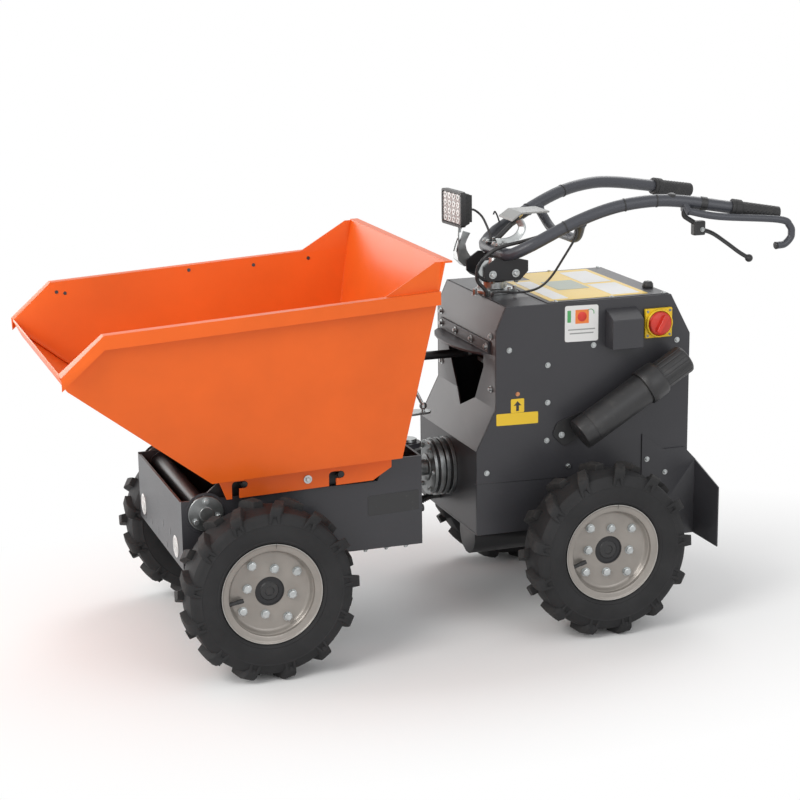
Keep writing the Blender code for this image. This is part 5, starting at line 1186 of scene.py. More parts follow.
class DUMPER_OT_swivel(bpy.types.Operator):
    """Kingpin, swivel hub with its stacked discs, and the drag link with its nuts"""
    bl_idname = "dumper.swivel"
    bl_label = "Swivel"

    def execute(self, context):
        pin = spot(KINGPIN_X, 0, 0)
        low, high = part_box("kingpin")
        profile = [(low.z, 0.0), (low.z, 0.0185), (low.z + 0.001, 0.0198),
                   (low.z + 0.007, 0.0198), (low.z + 0.0078, 0.019), (low.z + 0.0079, 0.0139),
                   (high.z - 0.0081, 0.0139), (high.z - 0.008, 0.019),
                   (high.z - 0.007, 0.0198), (high.z - 0.0012, 0.0198), (high.z, 0.0184),
                   (high.z, 0.0)]
        piece("kingpin_turned", lathe(profile, pin, (0, 0, 1), 48), "zinc", "front_chassis",
              "kingpin", slot="zinc_plate")
        softened("swivel_hub", "steel", "rear_chassis", "zinc_plate", 0.001)
        for name, x, radius, thick, look in (
                ("hub_disc", 0.484, 0.0665, 0.009, "steel"),
                ("hub_ring", 0.4935, 0.064, 0.01, "black_steel"),
                ("clamp_disc", 0.504, 0.0665, 0.008, "steel"),
                ("drum", 0.5125, 0.06, 0.072, "black_steel")):
            ring = lathe([(0.0, 0.0335), (0.0, radius - 0.0012), (0.0012, radius),
                          (thick - 0.0012, radius), (thick, radius - 0.0012), (thick, 0.0335)],
                         spot(x, 0, HUB_Z), (1, 0, 0), 72, True)
            piece("swivel_" + name, ring, look, "rear_chassis")
        places = [(spot(0.4838, y, HUB_Z + z), (-1, 0, 0))
                  for y, z in on_circle(0.055, range(0, 360, 60))]
        bolts("swivel_bolts", places, "rear_chassis", 0.009, 0.0042, 0.0068, seed=6, thin=0.001)

        link_low, link_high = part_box("drag_link")
        z = (link_low.z + link_high.z) / 2
        front, rear = spot(KINGPIN_X, ARM_REACH, z), spot(COLUMN_X, ARM_REACH, z)
        parts = []
        for eye in (front, rear):
            parts.append(lathe([(-0.0108, 0.0081), (-0.0108, 0.014), (-0.008, 0.0168),
                                (0.008, 0.0168), (0.0108, 0.014), (0.0108, 0.0081)],
                               eye, (0, 0, 1), 40, True))
        shaft = [front + Vector((0.016, 0, 0)), front + Vector((0.048, 0, 0)),
                 front + Vector((0.049, 0, 0)), rear - Vector((0.049, 0, 0)),
                 rear - Vector((0.048, 0, 0)), rear - Vector((0.016, 0, 0))]
        parts.append(sweep(shaft, 0.0104, 28, 30,
                           radii=[0.0078, 0.0078, 0.0104, 0.0104, 0.0078, 0.0078]))
        piece("drag_link_turned", merged("link", parts), "black_steel", "drag_link", "drag_link",
              slot="black_steel")
        jam = [lathe([(0.0, 0.0), (0.0, 0.01), (0.008, 0.01), (0.008, 0.0)],
                     end + Vector((way * 0.038, 0, 0)), (way, 0, 0), 6)
               for end, way in ((front, 1), (rear, -1))]
        piece("drag_link_nuts", merged("nuts", jam), "zinc", "drag_link")
        for name, x, body, seed in (("front", KINGPIN_X, "front_chassis", 2),
                                    ("rear", COLUMN_X, "handlebar", 8)):
            bolts("drag_pin_nut_" + name, [(spot(x, ARM_REACH, z + 0.0115), (0, 0, 1))], body,
                  0.013, 0.006, 0.0115, seed=seed)
        return {"FINISHED"}


CABLE_INSET = 0.00005


def conduit_route():
    """Middle line of the conduit, as in the part's source."""
    low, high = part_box("motor_conduit")
    start, end, collar = low.x, high.x, 0.015
    z, y = 0.262, 0.06
    points = [Vector((start, y, z)), Vector((start + collar, y, z))]
    for step in range(1, 24):
        share = step / 24
        points.append(Vector((start + collar + (end - start - 2 * collar) * share, y,
                              z - 0.016 * sin(pi * share) ** 2)))
    return points + [Vector((end - collar, y, z)), Vector((end, y, z))]


class DUMPER_OT_cords(bpy.types.Operator):
    """Corrugated conduit across the joint, the two cables to the deck and the lamp's lead"""
    bl_idname = "dumper.cords"
    bl_label = "Cords"

    def execute(self, context):
        route = conduit_route()
        mesh = grow(TREES["corrugated"], line_mesh(route), {
            "Radius": 0.0089, "Rib": 0.001, "Pitch": sizes().conduit_pitch,
            "Finish": LOOK["sleeve"]})
        hose = piece("conduit_ribbed", shaded(mesh, 60), "sleeve", None, "motor_conduit",
                     slot="black_parts")
        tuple(route[1])
        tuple(route[-2])
        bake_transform(hose)
        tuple(route[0])
        line_length(route)
        for name, node, places, radius, body in (
                ("control_cable_lead", "control_cable", CONTROL_ROUTE, 0.0028, None),
                ("bar_cable_lead", "bar_cable", BAR_ROUTE, 0.0045, None),
                ("lamp_lead", "lamp_cable", LAMP_ROUTE, 0.0028, "handlebar")):
            route = smooth_line(spots(places), 4)
            lead = piece(name, sweep(route, radius - CABLE_INSET, 18), "sleeve", body, node,
                         slot="black_parts")
            if not body:
                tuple(route[2])
                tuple(route[-2])
                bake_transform(lead)
            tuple(route[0])
            line_length(route)
        return {"FINISHED"}


# Rear half of the chassis

SIDE_SKIN = 0.194
LABEL_LIFT = 0.0002
MUDGUARD_FACE = 0.1976
GUARD_FACE_X, PANEL_FACE_X = 0.5814, 0.5868
DECK_TOP = 0.7696


def side_spots(places, side=-1):
    """Places on the rear box's side with the way they face."""
    return [(spot(x, side * (SIDE_SKIN + LABEL_LIFT), z), (0, side, 0)) for x, z in places]


def side_label(name, outline, look, thick=0.0006, radius=0.003):
    """A thin label on the rear box's left side."""
    outline = shifted(rounded(outline, radius))
    low, high = SIDE_SKIN + LABEL_LIFT, SIDE_SKIN + LABEL_LIFT + thick
    return piece(name, slab(outline, -low, -high, "xz", 0), look, "rear_chassis")


class DUMPER_OT_rear_box(bpy.types.Operator):
    """Rear box of plate with its axle, battery, bolts, seams and labels without text"""
    bl_idname = "dumper.rear_box"
    bl_label = "Rear box"

    def execute(self, context):
        for node, width in (
                ("rear_side_left", 0.0013), ("rear_side_right", 0.0013),
                ("rear_face_panel", 0.0013), ("top_deck", 0.0013), ("battery_lid", 0.0011),
                ("rear_back_panel", 0.0013), ("rear_floor", 0.001), ("socket_housing", 0.0018),
                ("mudguard_left", 0.0008), ("mudguard_right", 0.0008)):
            softened(node, "charcoal", "rear_chassis", "chassis_paint", width)
        softened("battery_pack", "plastic", "rear_chassis", "black_parts", 0.004)
        softened("battery_bed", "black_steel", "rear_chassis", "black_steel", 0.0008)
        softened("rear_axle", "black_steel", "rear_chassis", "black_steel", 0.001)
        softened("swing_guard", "charcoal", "rear_chassis", "chassis_paint", 0.001)
        side_bolts = [(0.62, 0.667), (0.716, 0.624), (0.716, 0.535), (0.831, 0.662),
                      (1.045, 0.657), (0.714, 0.444), (0.769, 0.377), (0.564, 0.38)]
        for side, label in SIDES:
            bolts(f"side_bolts_{label}", side_spots(side_bolts, side), "rear_chassis", 0.008,
                  0.0034, 0.0066, seed=11, thin=0.001)
            screws = [(spot(x, side * MUDGUARD_FACE, z), (0, side, 0))
                      for x, z in ((0.971, 0.3735), (1.019, 0.337))]
            bolts(f"mudguard_screws_{label}", screws, "rear_chassis", 0.0074, 0.0034, 0.0064,
                  seed=12, thin=0.001)
        bolts("copper_plug", side_spots([(0.641, 0.562)]), "rear_chassis", 0.0062, 0.0016, 0.0052,
              look="copper", seed=2, thin=0.0008)
        side_label("arrow_label", oblong(0.624, 0.657, 0.518, 0.551), "label_yellow")
        side_label("long_label", ((0.588, 0.4905), (0.692, 0.4885), (0.692, 0.5165),
                                  (0.588, 0.5185)), "label_yellow")
        side_label("square_label", ((0.758, 0.6745), (0.842, 0.6725), (0.842, 0.7575),
                                    (0.758, 0.7595)), "label_white", radius=0.006)
        for name, outline, look in (
                ("square_label_bar", oblong(0.764, 0.773, 0.72, 0.748), "label_leaf"),
                ("square_label_field", ((0.784, 0.716), (0.818, 0.7155), (0.818, 0.748),
                                        (0.784, 0.7485)), "label_orange"),
                ("square_label_line_a", ((0.766, 0.701), (0.834, 0.7), (0.834, 0.703),
                                         (0.766, 0.704)), "label_grey"),
                ("square_label_line_b", ((0.77, 0.692), (0.83, 0.691), (0.83, 0.694),
                                         (0.77, 0.695)), "label_grey")):
            side_label(name, outline, look, 0.0008, radius=0.001)
        dial = disc_on(spot(0.801, -SIDE_SKIN - 0.0008, 0.732), (0, -1, 0), 0.0115, 0.0005, 36)
        piece("square_label_dial", dial, "red", "rear_chassis")
        hook = sweep(spots([(0.822 + 0.0085 * sin(radians(angle)), -SIDE_SKIN - 0.001,
                             0.7395 + 0.0085 * cos(radians(angle)))
                            for angle in range(-60, 115, 12)]), 0.0012, 8, flat=0.3)
        piece("square_label_hook", hook, "label_leaf", "rear_chassis")
        arrow = shifted((
            (0.637, 0.522), (0.644, 0.522), (0.644, 0.535), (0.65, 0.535),
            (0.6405, 0.5455), (0.631, 0.535), (0.637, 0.535)))
        piece("arrow_mark", slab(arrow, -SIDE_SKIN - 0.0009, -SIDE_SKIN - 0.0004, "xz", 0),
              "label_black", "rear_chassis")
        guard = [(spot(GUARD_FACE_X, y, 0.6705), (-1, 0, 0))
                 for y in (-0.148, -0.052, 0.052, 0.148)]
        bolts("guard_bolts", guard, "rear_chassis", 0.0092, 0.005, 0.0086, seed=13)
        face = [(spot(PANEL_FACE_X, side * y, z), (-1, 0, 0)) for side in (-1, 1)
                for y, z in ((0.164, 0.572), (0.164, 0.697))]
        bolts("face_bolts", face, "rear_chassis", 0.0086, 0.0046, 0.008, seed=25)
        for side, label in SIDES:
            y = side * (SIDE_SKIN + LABEL_LIFT)
            seam = shifted((
                (0.531, 0.3548), (0.79, 0.3488), (0.79, 0.3498), (0.531, 0.3558)))
            piece(f"side_seam_{label}", slab(seam, y, y + side * 0.0003, "xz", 0), "label_black",
                  "rear_chassis")
        return {"FINISHED"}


class DUMPER_OT_deck(bpy.types.Operator):
    """Blank panels of the deck label, lid screws, knob and the column's bearing housing"""
    bl_idname = "dumper.deck"
    bl_label = "Deck"

    def execute(self, context):
        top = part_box("battery_lid")[1].z
        for name, outline, look, lift in (
                ("lid_label", ((0.728, -0.176), (0.978, -0.176), (0.978, 0.178), (0.79, 0.178),
                               (0.79, 0.09), (0.728, 0.09)), "label_yellow", 0.0002),
                ("lid_label_green", oblong(0.8, 0.88, -0.06, 0.05), "label_green", 0.0006),
                ("lid_label_white_a", oblong(0.892, 0.964, -0.16, -0.02), "label_white", 0.0006),
                ("lid_label_white_b", oblong(0.892, 0.964, 0.0, 0.15), "label_white", 0.0006),
                ("lid_label_white_c", oblong(0.742, 0.782, -0.16, 0.07), "label_white", 0.0006)):
            outline = shifted(rounded(outline, 0.003))
            piece(name, slab(outline, top + lift, top + lift + 0.0004, "xy", 0), look,
                  "rear_chassis")
        lid_screws = [(spot(x, y, top), (0, 0, 1)) for x, y in (
            (0.738, -0.1845), (0.88, -0.1845), (1.012, -0.1845), (0.738, 0.1845),
            (0.88, 0.1845), (1.012, 0.1845))]
        bolts("lid_screws", lid_screws, "rear_chassis", 0.007, 0.0022, 0.0062, seed=14,
              thin=0.0008)
        knob = lathe([(0.0, 0.0), (0.0, 0.0125), (0.003, 0.0135), (0.01, 0.0125), (0.015, 0.009),
                      (0.017, 0.0)], spot(1.008, -0.11, top), (0, 0, 1), 40)
        piece("lid_knob", knob, "plastic", "rear_chassis")
        low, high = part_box("column_housing")
        flange = 0.7683
        profile = [(low.z, 0.0166), (low.z, 0.0292), (low.z + 0.0008, 0.03), (flange, 0.03),
                   (flange, 0.0452), (flange + 0.0008, 0.046), (flange + 0.007, 0.046),
                   (flange + 0.008, 0.045), (flange + 0.0082, 0.033), (flange + 0.011, 0.03),
                   (high.z - 0.0016, 0.0298), (high.z, 0.0282), (high.z, 0.0166)]
        piece("column_housing_turned", lathe(profile, spot(COLUMN_X, 0, 0), (0, 0, 1), 64, True),
              "zinc", "rear_chassis", "column_housing", slot="zinc_plate")
        places = [(spot(COLUMN_X + x, y, flange + 0.0081), (0, 0, 1))
                  for x, y in on_circle(0.0385, (45, 135, 225, 315))]
        bolts("flange_bolts", places, "rear_chassis", 0.0075, 0.0036, 0.0062, seed=15,
              thin=0.001)
        return {"FINISHED"}


class DUMPER_OT_canister(bpy.types.Operator):
    """Document canister with its ribbed cap, ring and bracket"""
    bl_idname = "dumper.canister"
    bl_label = "Canister"

    def execute(self, context):
        y = -0.2425
        low, high = spot(0.777, y, 0.463), spot(1.044, y, 0.624)
        along = (high - low).normalized()
        length = (high - low).length
        ring = length * 0.6
        body = [(0.0, 0.0), (0.0, 0.034), (0.0012, 0.0372), (0.005, 0.0383), (0.03, 0.0383),
                (0.0305, 0.0376), (0.0325, 0.0376), (0.033, 0.0383), (ring - 0.002, 0.0383),
                (ring - 0.0015, 0.0372), (ring, 0.0372), (ring + 0.01, 0.0372),
                (ring + 0.01, 0.0)]
        parts = [lathe(body, low, along, 64, False, 30)]
        collar = [(0.0, 0.0372), (0.0, 0.0428), (0.0012, 0.0438), (0.018, 0.0438),
                  (0.023, 0.0434), (0.042, 0.0424), (0.047, 0.04), (0.049, 0.0352),
                  (0.049, 0.03), (0.0, 0.03)]
        parts.append(lathe(collar, low + along * ring, along, 64, True, 40))

        def ribs(angle, place):
            return -0.0011 * (cos(18 * angle) > 0.72) if 0.004 < place < 0.072 else 0.0

        start = ring + 0.047
        end = length - start
        cap = [(0.0, 0.0), (0.0, 0.0346), *[(0.006 + 0.008 * step, 0.035) for step in range(8)],
               (end - 0.008, 0.0352), (end - 0.003, 0.0338), (end, 0.03), (end, 0.0)]
        parts.append(lathe(cap, low + along * start, along, 216, False, 50, ribs))
        for share in (0.12, 0.46):
            place = low.lerp(high, share)
            parts.append(block((place.x - 0.01, y, place.z - 0.01),
                               (place.x + 0.01, -0.1943, place.z + 0.01), 0.0012))
        tab = rounded([(place[0], place[1]) for place in (
            (low.x + 0.045, low.z + 0.005), (low.x + 0.03, low.z + 0.045),
            (low.x - 0.038, low.z + 0.022), (low.x - 0.05, low.z - 0.006),
            (low.x - 0.022, low.z - 0.036), (low.x + 0.006, low.z - 0.026))], 0.009)
        parts.append(slab(tab, -0.1983, -0.1943, "xz", 0.0006))
        piece("canister_turned", merged("canister", parts), "plastic", "rear_chassis",
              "document_canister", slot="black_parts")
        bolts("canister_screw", [(spot(0.75, -0.1984, 0.455), (0, -1, 0))], "rear_chassis",
              0.0085, 0.0036, 0.0075, seed=16, thin=0.001)
        return {"FINISHED"}


KNOB_TURN = 28


def turned_about(centre, angle, axis):
    """A turn in degrees about an axis through a centre."""
    return (Matrix.Translation(centre) @ Matrix.Rotation(radians(angle), 4, axis)
            @ Matrix.Translation(-centre))


class DUMPER_OT_isolator(bpy.types.Operator):
    """Battery isolator: yellow plate with a raised ring, and the red turning knob"""
    bl_idname = "dumper.isolator"
    bl_label = "Isolator"

    def execute(self, context):
        low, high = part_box("isolator_plate")
        middle = (low + high) / 2
        front = low.y
        parts = [block(low + Vector((0, 0.003, 0)), high, 0.0035, 3),
                 lathe([(0.0, 0.0295), (0.0, 0.0335), (0.0062, 0.0335), (0.0074, 0.0325),
                        (0.0076, 0.03)], Vector((middle.x, front + 0.0042, middle.z)),
                       (0, -1, 0), 56, True)]
        piece("isolator_base", merged("base", parts), "yellow", "rear_chassis", "isolator_plate",
              slot="isolator_yellow")
        dial = lathe([(0.0, 0.0), (0.0, 0.0282), (0.0035, 0.0282), (0.005, 0.0268),
                      (0.008, 0.0262), (0.0088, 0.025), (0.0088, 0.0)],
                     Vector((middle.x, front - 0.0003, middle.z)), (0, -1, 0), 56)
        grip = block((middle.x - 0.0056, front - 0.02, middle.z - 0.0215),
                     (middle.x + 0.0056, front - 0.006, middle.z + 0.0215), 0.0022, 3)
        grip.transform(turned_about(middle, KNOB_TURN, "Y"))
        piece("isolator_turner", merged("knob", [dial, grip]), "red", "rear_chassis",
              "isolator_knob", slot="isolator_red")
        corners = [(Vector((middle.x + a * 0.0285, front + 0.003, middle.z + b * 0.0285)),
                    (0, -1, 0)) for a in (-1, 1) for b in (-1, 1)]
        bolts("isolator_screws", corners, "rear_chassis", 0.0038, 0.0014, 0.0032, look="steel",
              seed=17, thin=0.0005)
        return {"FINISHED"}


# Handlebar

LEVER_SEAT = (1.06, -0.186, 0.982)


def bent(points, radius, steps=6):
    """An open line whose corners are rounded."""
    points = [Vector(point) for point in points]
    result = [points[0]]
    for before, here, after in zip(points, points[1:], points[2:]):
        back, on = before - here, after - here
        reach = min(radius, back.length * 0.48, on.length * 0.48)
        start, stop = here + back.normalized() * reach, here + on.normalized() * reach
        for step in range(steps + 1):
            t = step / steps
            result.append(start * (1 - t) ** 2 + here * 2 * t * (1 - t) + stop * t ** 2)
    return result + [points[-1]]


class DUMPER_OT_bars(bpy.types.Operator):
    """Bent handlebar tubes, the hoop between them and the hook-ended guard on the left"""
    bl_idname = "dumper.bars"
    bl_label = "Bars"

    def execute(self, context):
        radius = sizes().bar_radius
        arm = smooth_line(spots(BAR_PATH[1:]), 8)
        elbow = spots([(0.686, 0.1015, 0.879), (0.671, 0.088, 0.8695), (0.665, 0.07, 0.8665),
                       (0.664, 0.05, 0.866)])
        half = [*reversed(arm), *elbow]
        flip = [Vector((point.x, -point.y, point.z)) for point in reversed(half)]
        parts = [sweep(half + flip, radius, 32, 60)]
        crossing = Vector(BAR_PATH[2]).lerp(Vector(BAR_PATH[3]), 0.15)
        foot = Vector((crossing.x + 0.0145, crossing.y * 0.55, crossing.z - 0.056))
        hoop = bent(spots([crossing, foot, *mirrored((foot, crossing))]), 0.03, 8)
        parts.append(sweep(hoop, 0.0114, 28, 60))
        for point in (crossing, Vector((crossing.x, -crossing.y, crossing.z))):
            heading = (spot(0.8397, point.y * 0.55, 0.8917) - spot(*point)).normalized()
            parts.append(lathe([(0.013, 0.0112), (0.0142, 0.0132), (0.016, 0.0134),
                                (0.0185, 0.0112)], spot(*point), heading, 28, True))
        reach = CAD_BOX[1][0] - 0.0086
        guard = [Vector((min(point.x, reach), point.y, point.z))
                 for point in smooth_line(spots(HOOK_PATH), 8)]
        parts.append(sweep(guard, 0.00845, 24, 60))
        root = spot(*HOOK_PATH[0])
        bar_point = spot(*LEVER_SEAT)
        parts.append(sweep([bar_point, root + (root - bar_point) * 0.2], 0.0084, 24, 60))
        parts.append(block(bar_point + Vector((-0.006, -0.006, -0.022)),
                           bar_point + Vector((0.006, 0.006, -0.01)), 0.0008))
        piece("bars_bent", merged("bars", parts), "bar", "handlebar", "handlebar_tubes",
              slot="bar_paint")
        cap = lathe([(0.0, 0.0), (0.0, 0.0089), (0.002, 0.0089), (0.0034, 0.0076),
                     (0.004, 0.0)], guard[-1] - Vector((0.0016, 0, 0)),
                    (guard[-1] - guard[-2]).normalized(), 28)
        piece("guard_end_cap", cap, "plastic", "handlebar")
        crimp = lathe([(-0.008, 0.0148), (-0.007, 0.016), (0.007, 0.016), (0.008, 0.0148)],
                      spot(1.105, -0.1942, 0.9755), (1, -0.18, -0.155), 40, True)
        piece("bar_crimp", crimp, "plastic", "handlebar")
        return {"FINISHED"}


def grip_meshes(start, along):
    """A knurled grip with its collar and end flange, along a heading."""
    radius = sizes().grip_radius

    def knurl(angle, place):
        if not 0.03 < place < 0.1085:
            return 0.0
        turn = 2 * pi * place / 0.0095
        return 0.00055 * (max(0.0, cos(12 * angle + turn)) + max(0.0, cos(12 * angle - turn))) - 0.0005

    rows = [(0.03 + 0.0785 * step / 66, radius) for step in range(67)]
    profile = [(0.0, 0.0), (0.0, 0.015), (0.0, 0.0198), (0.0012, 0.0208), (0.006, 0.0208),
               (0.0066, 0.0198), (0.009, 0.0198), (0.0096, 0.0208), (0.0222, 0.0208),
               (0.0238, 0.0198), (0.0244, 0.0176), *rows, (0.1092, radius), (0.11, 0.0174),
               (0.1165, 0.0172), (0.1178, 0.015), (0.118, 0.0)]
    return lathe(profile, start, along, 96, False, 50, knurl)


class DUMPER_OT_grips(bpy.types.Operator):
    """Knurled grips, the throttle's box and post, the horn button and cable ties"""
    bl_idname = "dumper.grips"
    bl_label = "Grips"

    def execute(self, context):
        before, last = smooth_line(BAR_PATH, 2)[-2:]
        heading = (last - before).normalized()
        for side, label in SIDES:
            along = Vector((heading.x, side * heading.y, heading.z))
            start = spot(last.x, side * last.y, last.z) + along * 0.0003
            parts = [grip_meshes(start, along)]
            if side > 0:
                low = start + Vector((0.006, -0.0126, -0.0496))
                high = start + Vector((0.0336, 0.0126, -0.004))
                parts.append(block(low, high, 0.0035, 3))
                for step in range(5):
                    x = low.x + 0.0035 + step * 0.005
                    parts.append(block((x, low.y - 0.0004, low.z + 0.006),
                                       (x + 0.0022, high.y + 0.0004, high.z - 0.004), 0.0006))
                post = start + along * 0.118 * 0.6
                parts.append(lathe([(0.006, 0.0), (0.006, 0.005), (0.03, 0.005),
                                    (0.034, 0.0058), (0.0385, 0.0056), (0.04, 0.004),
                                    (0.04, 0.0)], post, (0, 0, -1), 28))
            piece(f"grip_{label}_knurled", merged("grip", parts), "soft", "handlebar",
                  "grip_" + label, slot="black_parts")
        button = lathe([(0.0, 0.0), (0.0, 0.013), (0.006, 0.013), (0.0072, 0.0118),
                        (0.011, 0.01), (0.0132, 0.006), (0.0138, 0.0)],
                       spot(1.03, -0.1795, 0.9895), (0, 0, 1), 36)
        base = block(spot(1.018, -0.1915, 0.977), spot(1.042, -0.1675, 0.991), 0.0025)
        piece("horn_button", merged("button", [base, button]), "plastic", "handlebar")
        bar = smooth_line(BAR_PATH, 8)
        ties = []
        for share, side in ((0.34, 1), (0.52, 1), (0.3, -1), (0.56, -1), (0.72, -1)):
            index = int(share * (len(bar) - 2))
            here, there = bar[index], bar[index + 1]
            way = Vector((there.x - here.x, side * (there.y - here.y), there.z - here.z))
            ties.append(lathe([(-0.0014, 0.0144), (-0.0014, 0.0157), (0.0014, 0.0157),
                               (0.0014, 0.0144)], spot(here.x, side * here.y, here.z), way, 32,
                              True))
        piece("cable_ties", merged("ties", ties), "plastic", "handlebar")
        return {"FINISHED"}


class DUMPER_OT_clamp(bpy.types.Operator):
    """Column, the channel that clamps the bars, its bolts, spring, straps and cover"""
    bl_idname = "dumper.clamp"
    bl_label = "Clamp"

    def execute(self, context):
        softened("bar_bracket", "black_steel", "handlebar", "black_steel", 0.001)
        softened("steering_column", "zinc", "handlebar", "zinc_plate", 0.0007)
        softened("cable_cover", "pale", "handlebar", "chassis_paint", 0.0008)
        for side, label in SIDES:
            places = [(spot(x, side * 0.0622, 0.82), (0, side, 0)) for x in (0.632, 0.69)]
            bolts(f"clamp_bolts_{label}", places, "handlebar", 0.011, 0.0055, 0.0095,
                  seed=18)
            lower = [(spot(x, side * 0.04, 0.8028), (0, 0, -1)) for x in (0.64, 0.7)]
            bolts(f"clamp_nuts_{label}", lower, "handlebar", 0.01, 0.006, 0.009, seed=19,
                  look="steel")
        outline = shifted(
            arc((0.619, 0.834), 0.0215, 90, 270, 16) + [(0.625, 0.8125), (0.625, 0.8555)])
        piece("clamp_cheeks", slab(outline, -0.054, -0.05, "xz", 0.0006), "zinc", "handlebar")
        hoop = [spot(x, -0.059, z) for x, z in arc((0.619, 0.833), 0.025, 82, 270, 18)]
        piece("clamp_rings", sweep(hoop, 0.003, 10), "black_steel", "handlebar")
        plates = []
        for side in (-1, 1):
            outline = rounded([(0.647 + AXLE_X, side * 0.014), (0.681 + AXLE_X, side * 0.014),
                               (0.681 + AXLE_X, side * 0.046), (0.647 + AXLE_X, side * 0.046)],
                              0.004)
            plates.append(slab(outline, 0.8806, 0.8846, "xy", 0.0007))
        piece("saddle_plates", merged("saddles", plates), "black_steel", "handlebar")
        saddle = [(spot(x, y, 0.8846), (0, 0, 1)) for x in (0.652, 0.676)
                  for y in (-0.04, -0.02, 0.02, 0.04)]
        bolts("saddle_bolts", saddle, "handlebar", 0.008, 0.0044, 0.0068, seed=20, thin=0.001)
        low, high = spot(0.668, 0.02, 0.883), spot(0.742, 0.03, 0.944)
        along = (high - low).normalized()
        length = (high - low).length
        spring = lathe([(0.0, 0.0), (0.0, 0.0042), (0.008, 0.0042), (0.009, 0.006),
                        (length * 0.62, 0.006), (length * 0.62 + 0.002, 0.0034),
                        (length - 0.008, 0.0034), (length - 0.008, 0.0)], low, along, 24)
        piece("gas_spring", spring, "plastic", "handlebar")
        tip = lathe([(length - 0.01, 0.0), (length - 0.01, 0.0052), (length, 0.0052),
                     (length + 0.003, 0.0036), (length + 0.003, 0.0)], low, along, 16)
        piece("gas_spring_tip", tip, "brass", "handlebar")
        curve = smooth_line(spots([(0.668, 0.004, 0.885), (0.7, 0.004, 0.886),
                                   (0.722, 0.004, 0.896), (0.734, 0.006, 0.915),
                                   (0.728, 0.01, 0.933)]), 6)
        piece("curved_strap", sweep(curve, 0.01, 16, 60, flat=0.2), "zinc", "handlebar")
        studs = [(spot(x, y, DECK_TOP), (0, 0, 1)) for x, y in (
            (0.6, -0.03), (0.622, -0.044), (0.7, -0.03))]
        bolts("deck_studs", studs, "rear_chassis", 0.01, 0.012, 0.0086, look="zinc", seed=26,
              thin=0.0012)
        hook = bent(spots([(0.7215, 0.119, 0.912), (0.715, 0.117, 0.93),
                           (0.708, 0.116, 0.942), (0.704, 0.115, 0.933)]), 0.01, 5)
        piece("bar_hook", sweep(hook, 0.002, 10), "plastic", "handlebar")
        return {"FINISHED"}


class DUMPER_OT_lever(bpy.types.Operator):
    """Hand lever with its perch and ball end, under the left bar"""
    bl_idname = "dumper.lever"
    bl_label = "Lever"

    def execute(self, context):
        bar = spot(*LEVER_SEAT)
        perch = bar + Vector((0.038, 0, -0.064))
        end = bar + Vector((0.162, -0.02, -0.141))
        half = Vector((0.0148, 0.0098, 0.0168))
        parts = [block(perch - half, perch + half, 0.004, 3)]
        stalk = bent([bar + Vector((0, 0, -0.0205)), bar + Vector((0, 0, -0.034)),
                      perch + Vector((-0.006, 0, 0.01)), perch], 0.018)
        parts.append(sweep(stalk, 0.0058, 20))
        blade = smooth_line([perch + Vector((0.008, 0, -0.004)),
                             perch + Vector((0.036, -0.004, -0.015)),
                             perch + Vector((0.07, -0.01, -0.039)),
                             perch + Vector((0.1, -0.016, -0.062)), end], 8)
        parts.append(sweep(blade, 0.006, 20, flat=0.62))
        parts.append(lathe([(-0.0093 + 0.0186 * step / 14,
                             0.0093 * sqrt(max(0.0, 1 - (2 * step / 14 - 1) ** 2)))
                            for step in range(15)], end, (0.7, -0.1, -0.5), 28))
        piece("lever_shaped", merged("lever", parts), "plastic", "handlebar", "brake_lever",
              slot="black_parts")
        bolts("lever_pivot", [(perch + Vector((0.006, -0.0098, -0.003)), (0, -1, 0))],
              "handlebar", 0.0065, 0.003, 0.0056, seed=21, thin=0.0008)
        return {"FINISHED"}


LAMP_YAW = 6
LAMP_CHEEK = (
    (0.6064, 0.9076), (0.6252, 0.9015), (0.618, 0.889), (0.6121, 0.8759), (0.6156, 0.8603),
    (0.624, 0.8462), (0.6406, 0.8407), (0.6546, 0.8297), (0.6521, 0.8209), (0.6282, 0.8217),
    (0.607, 0.828), (0.5933, 0.8411), (0.5883, 0.8626), (0.592, 0.8773), (0.6013, 0.893))


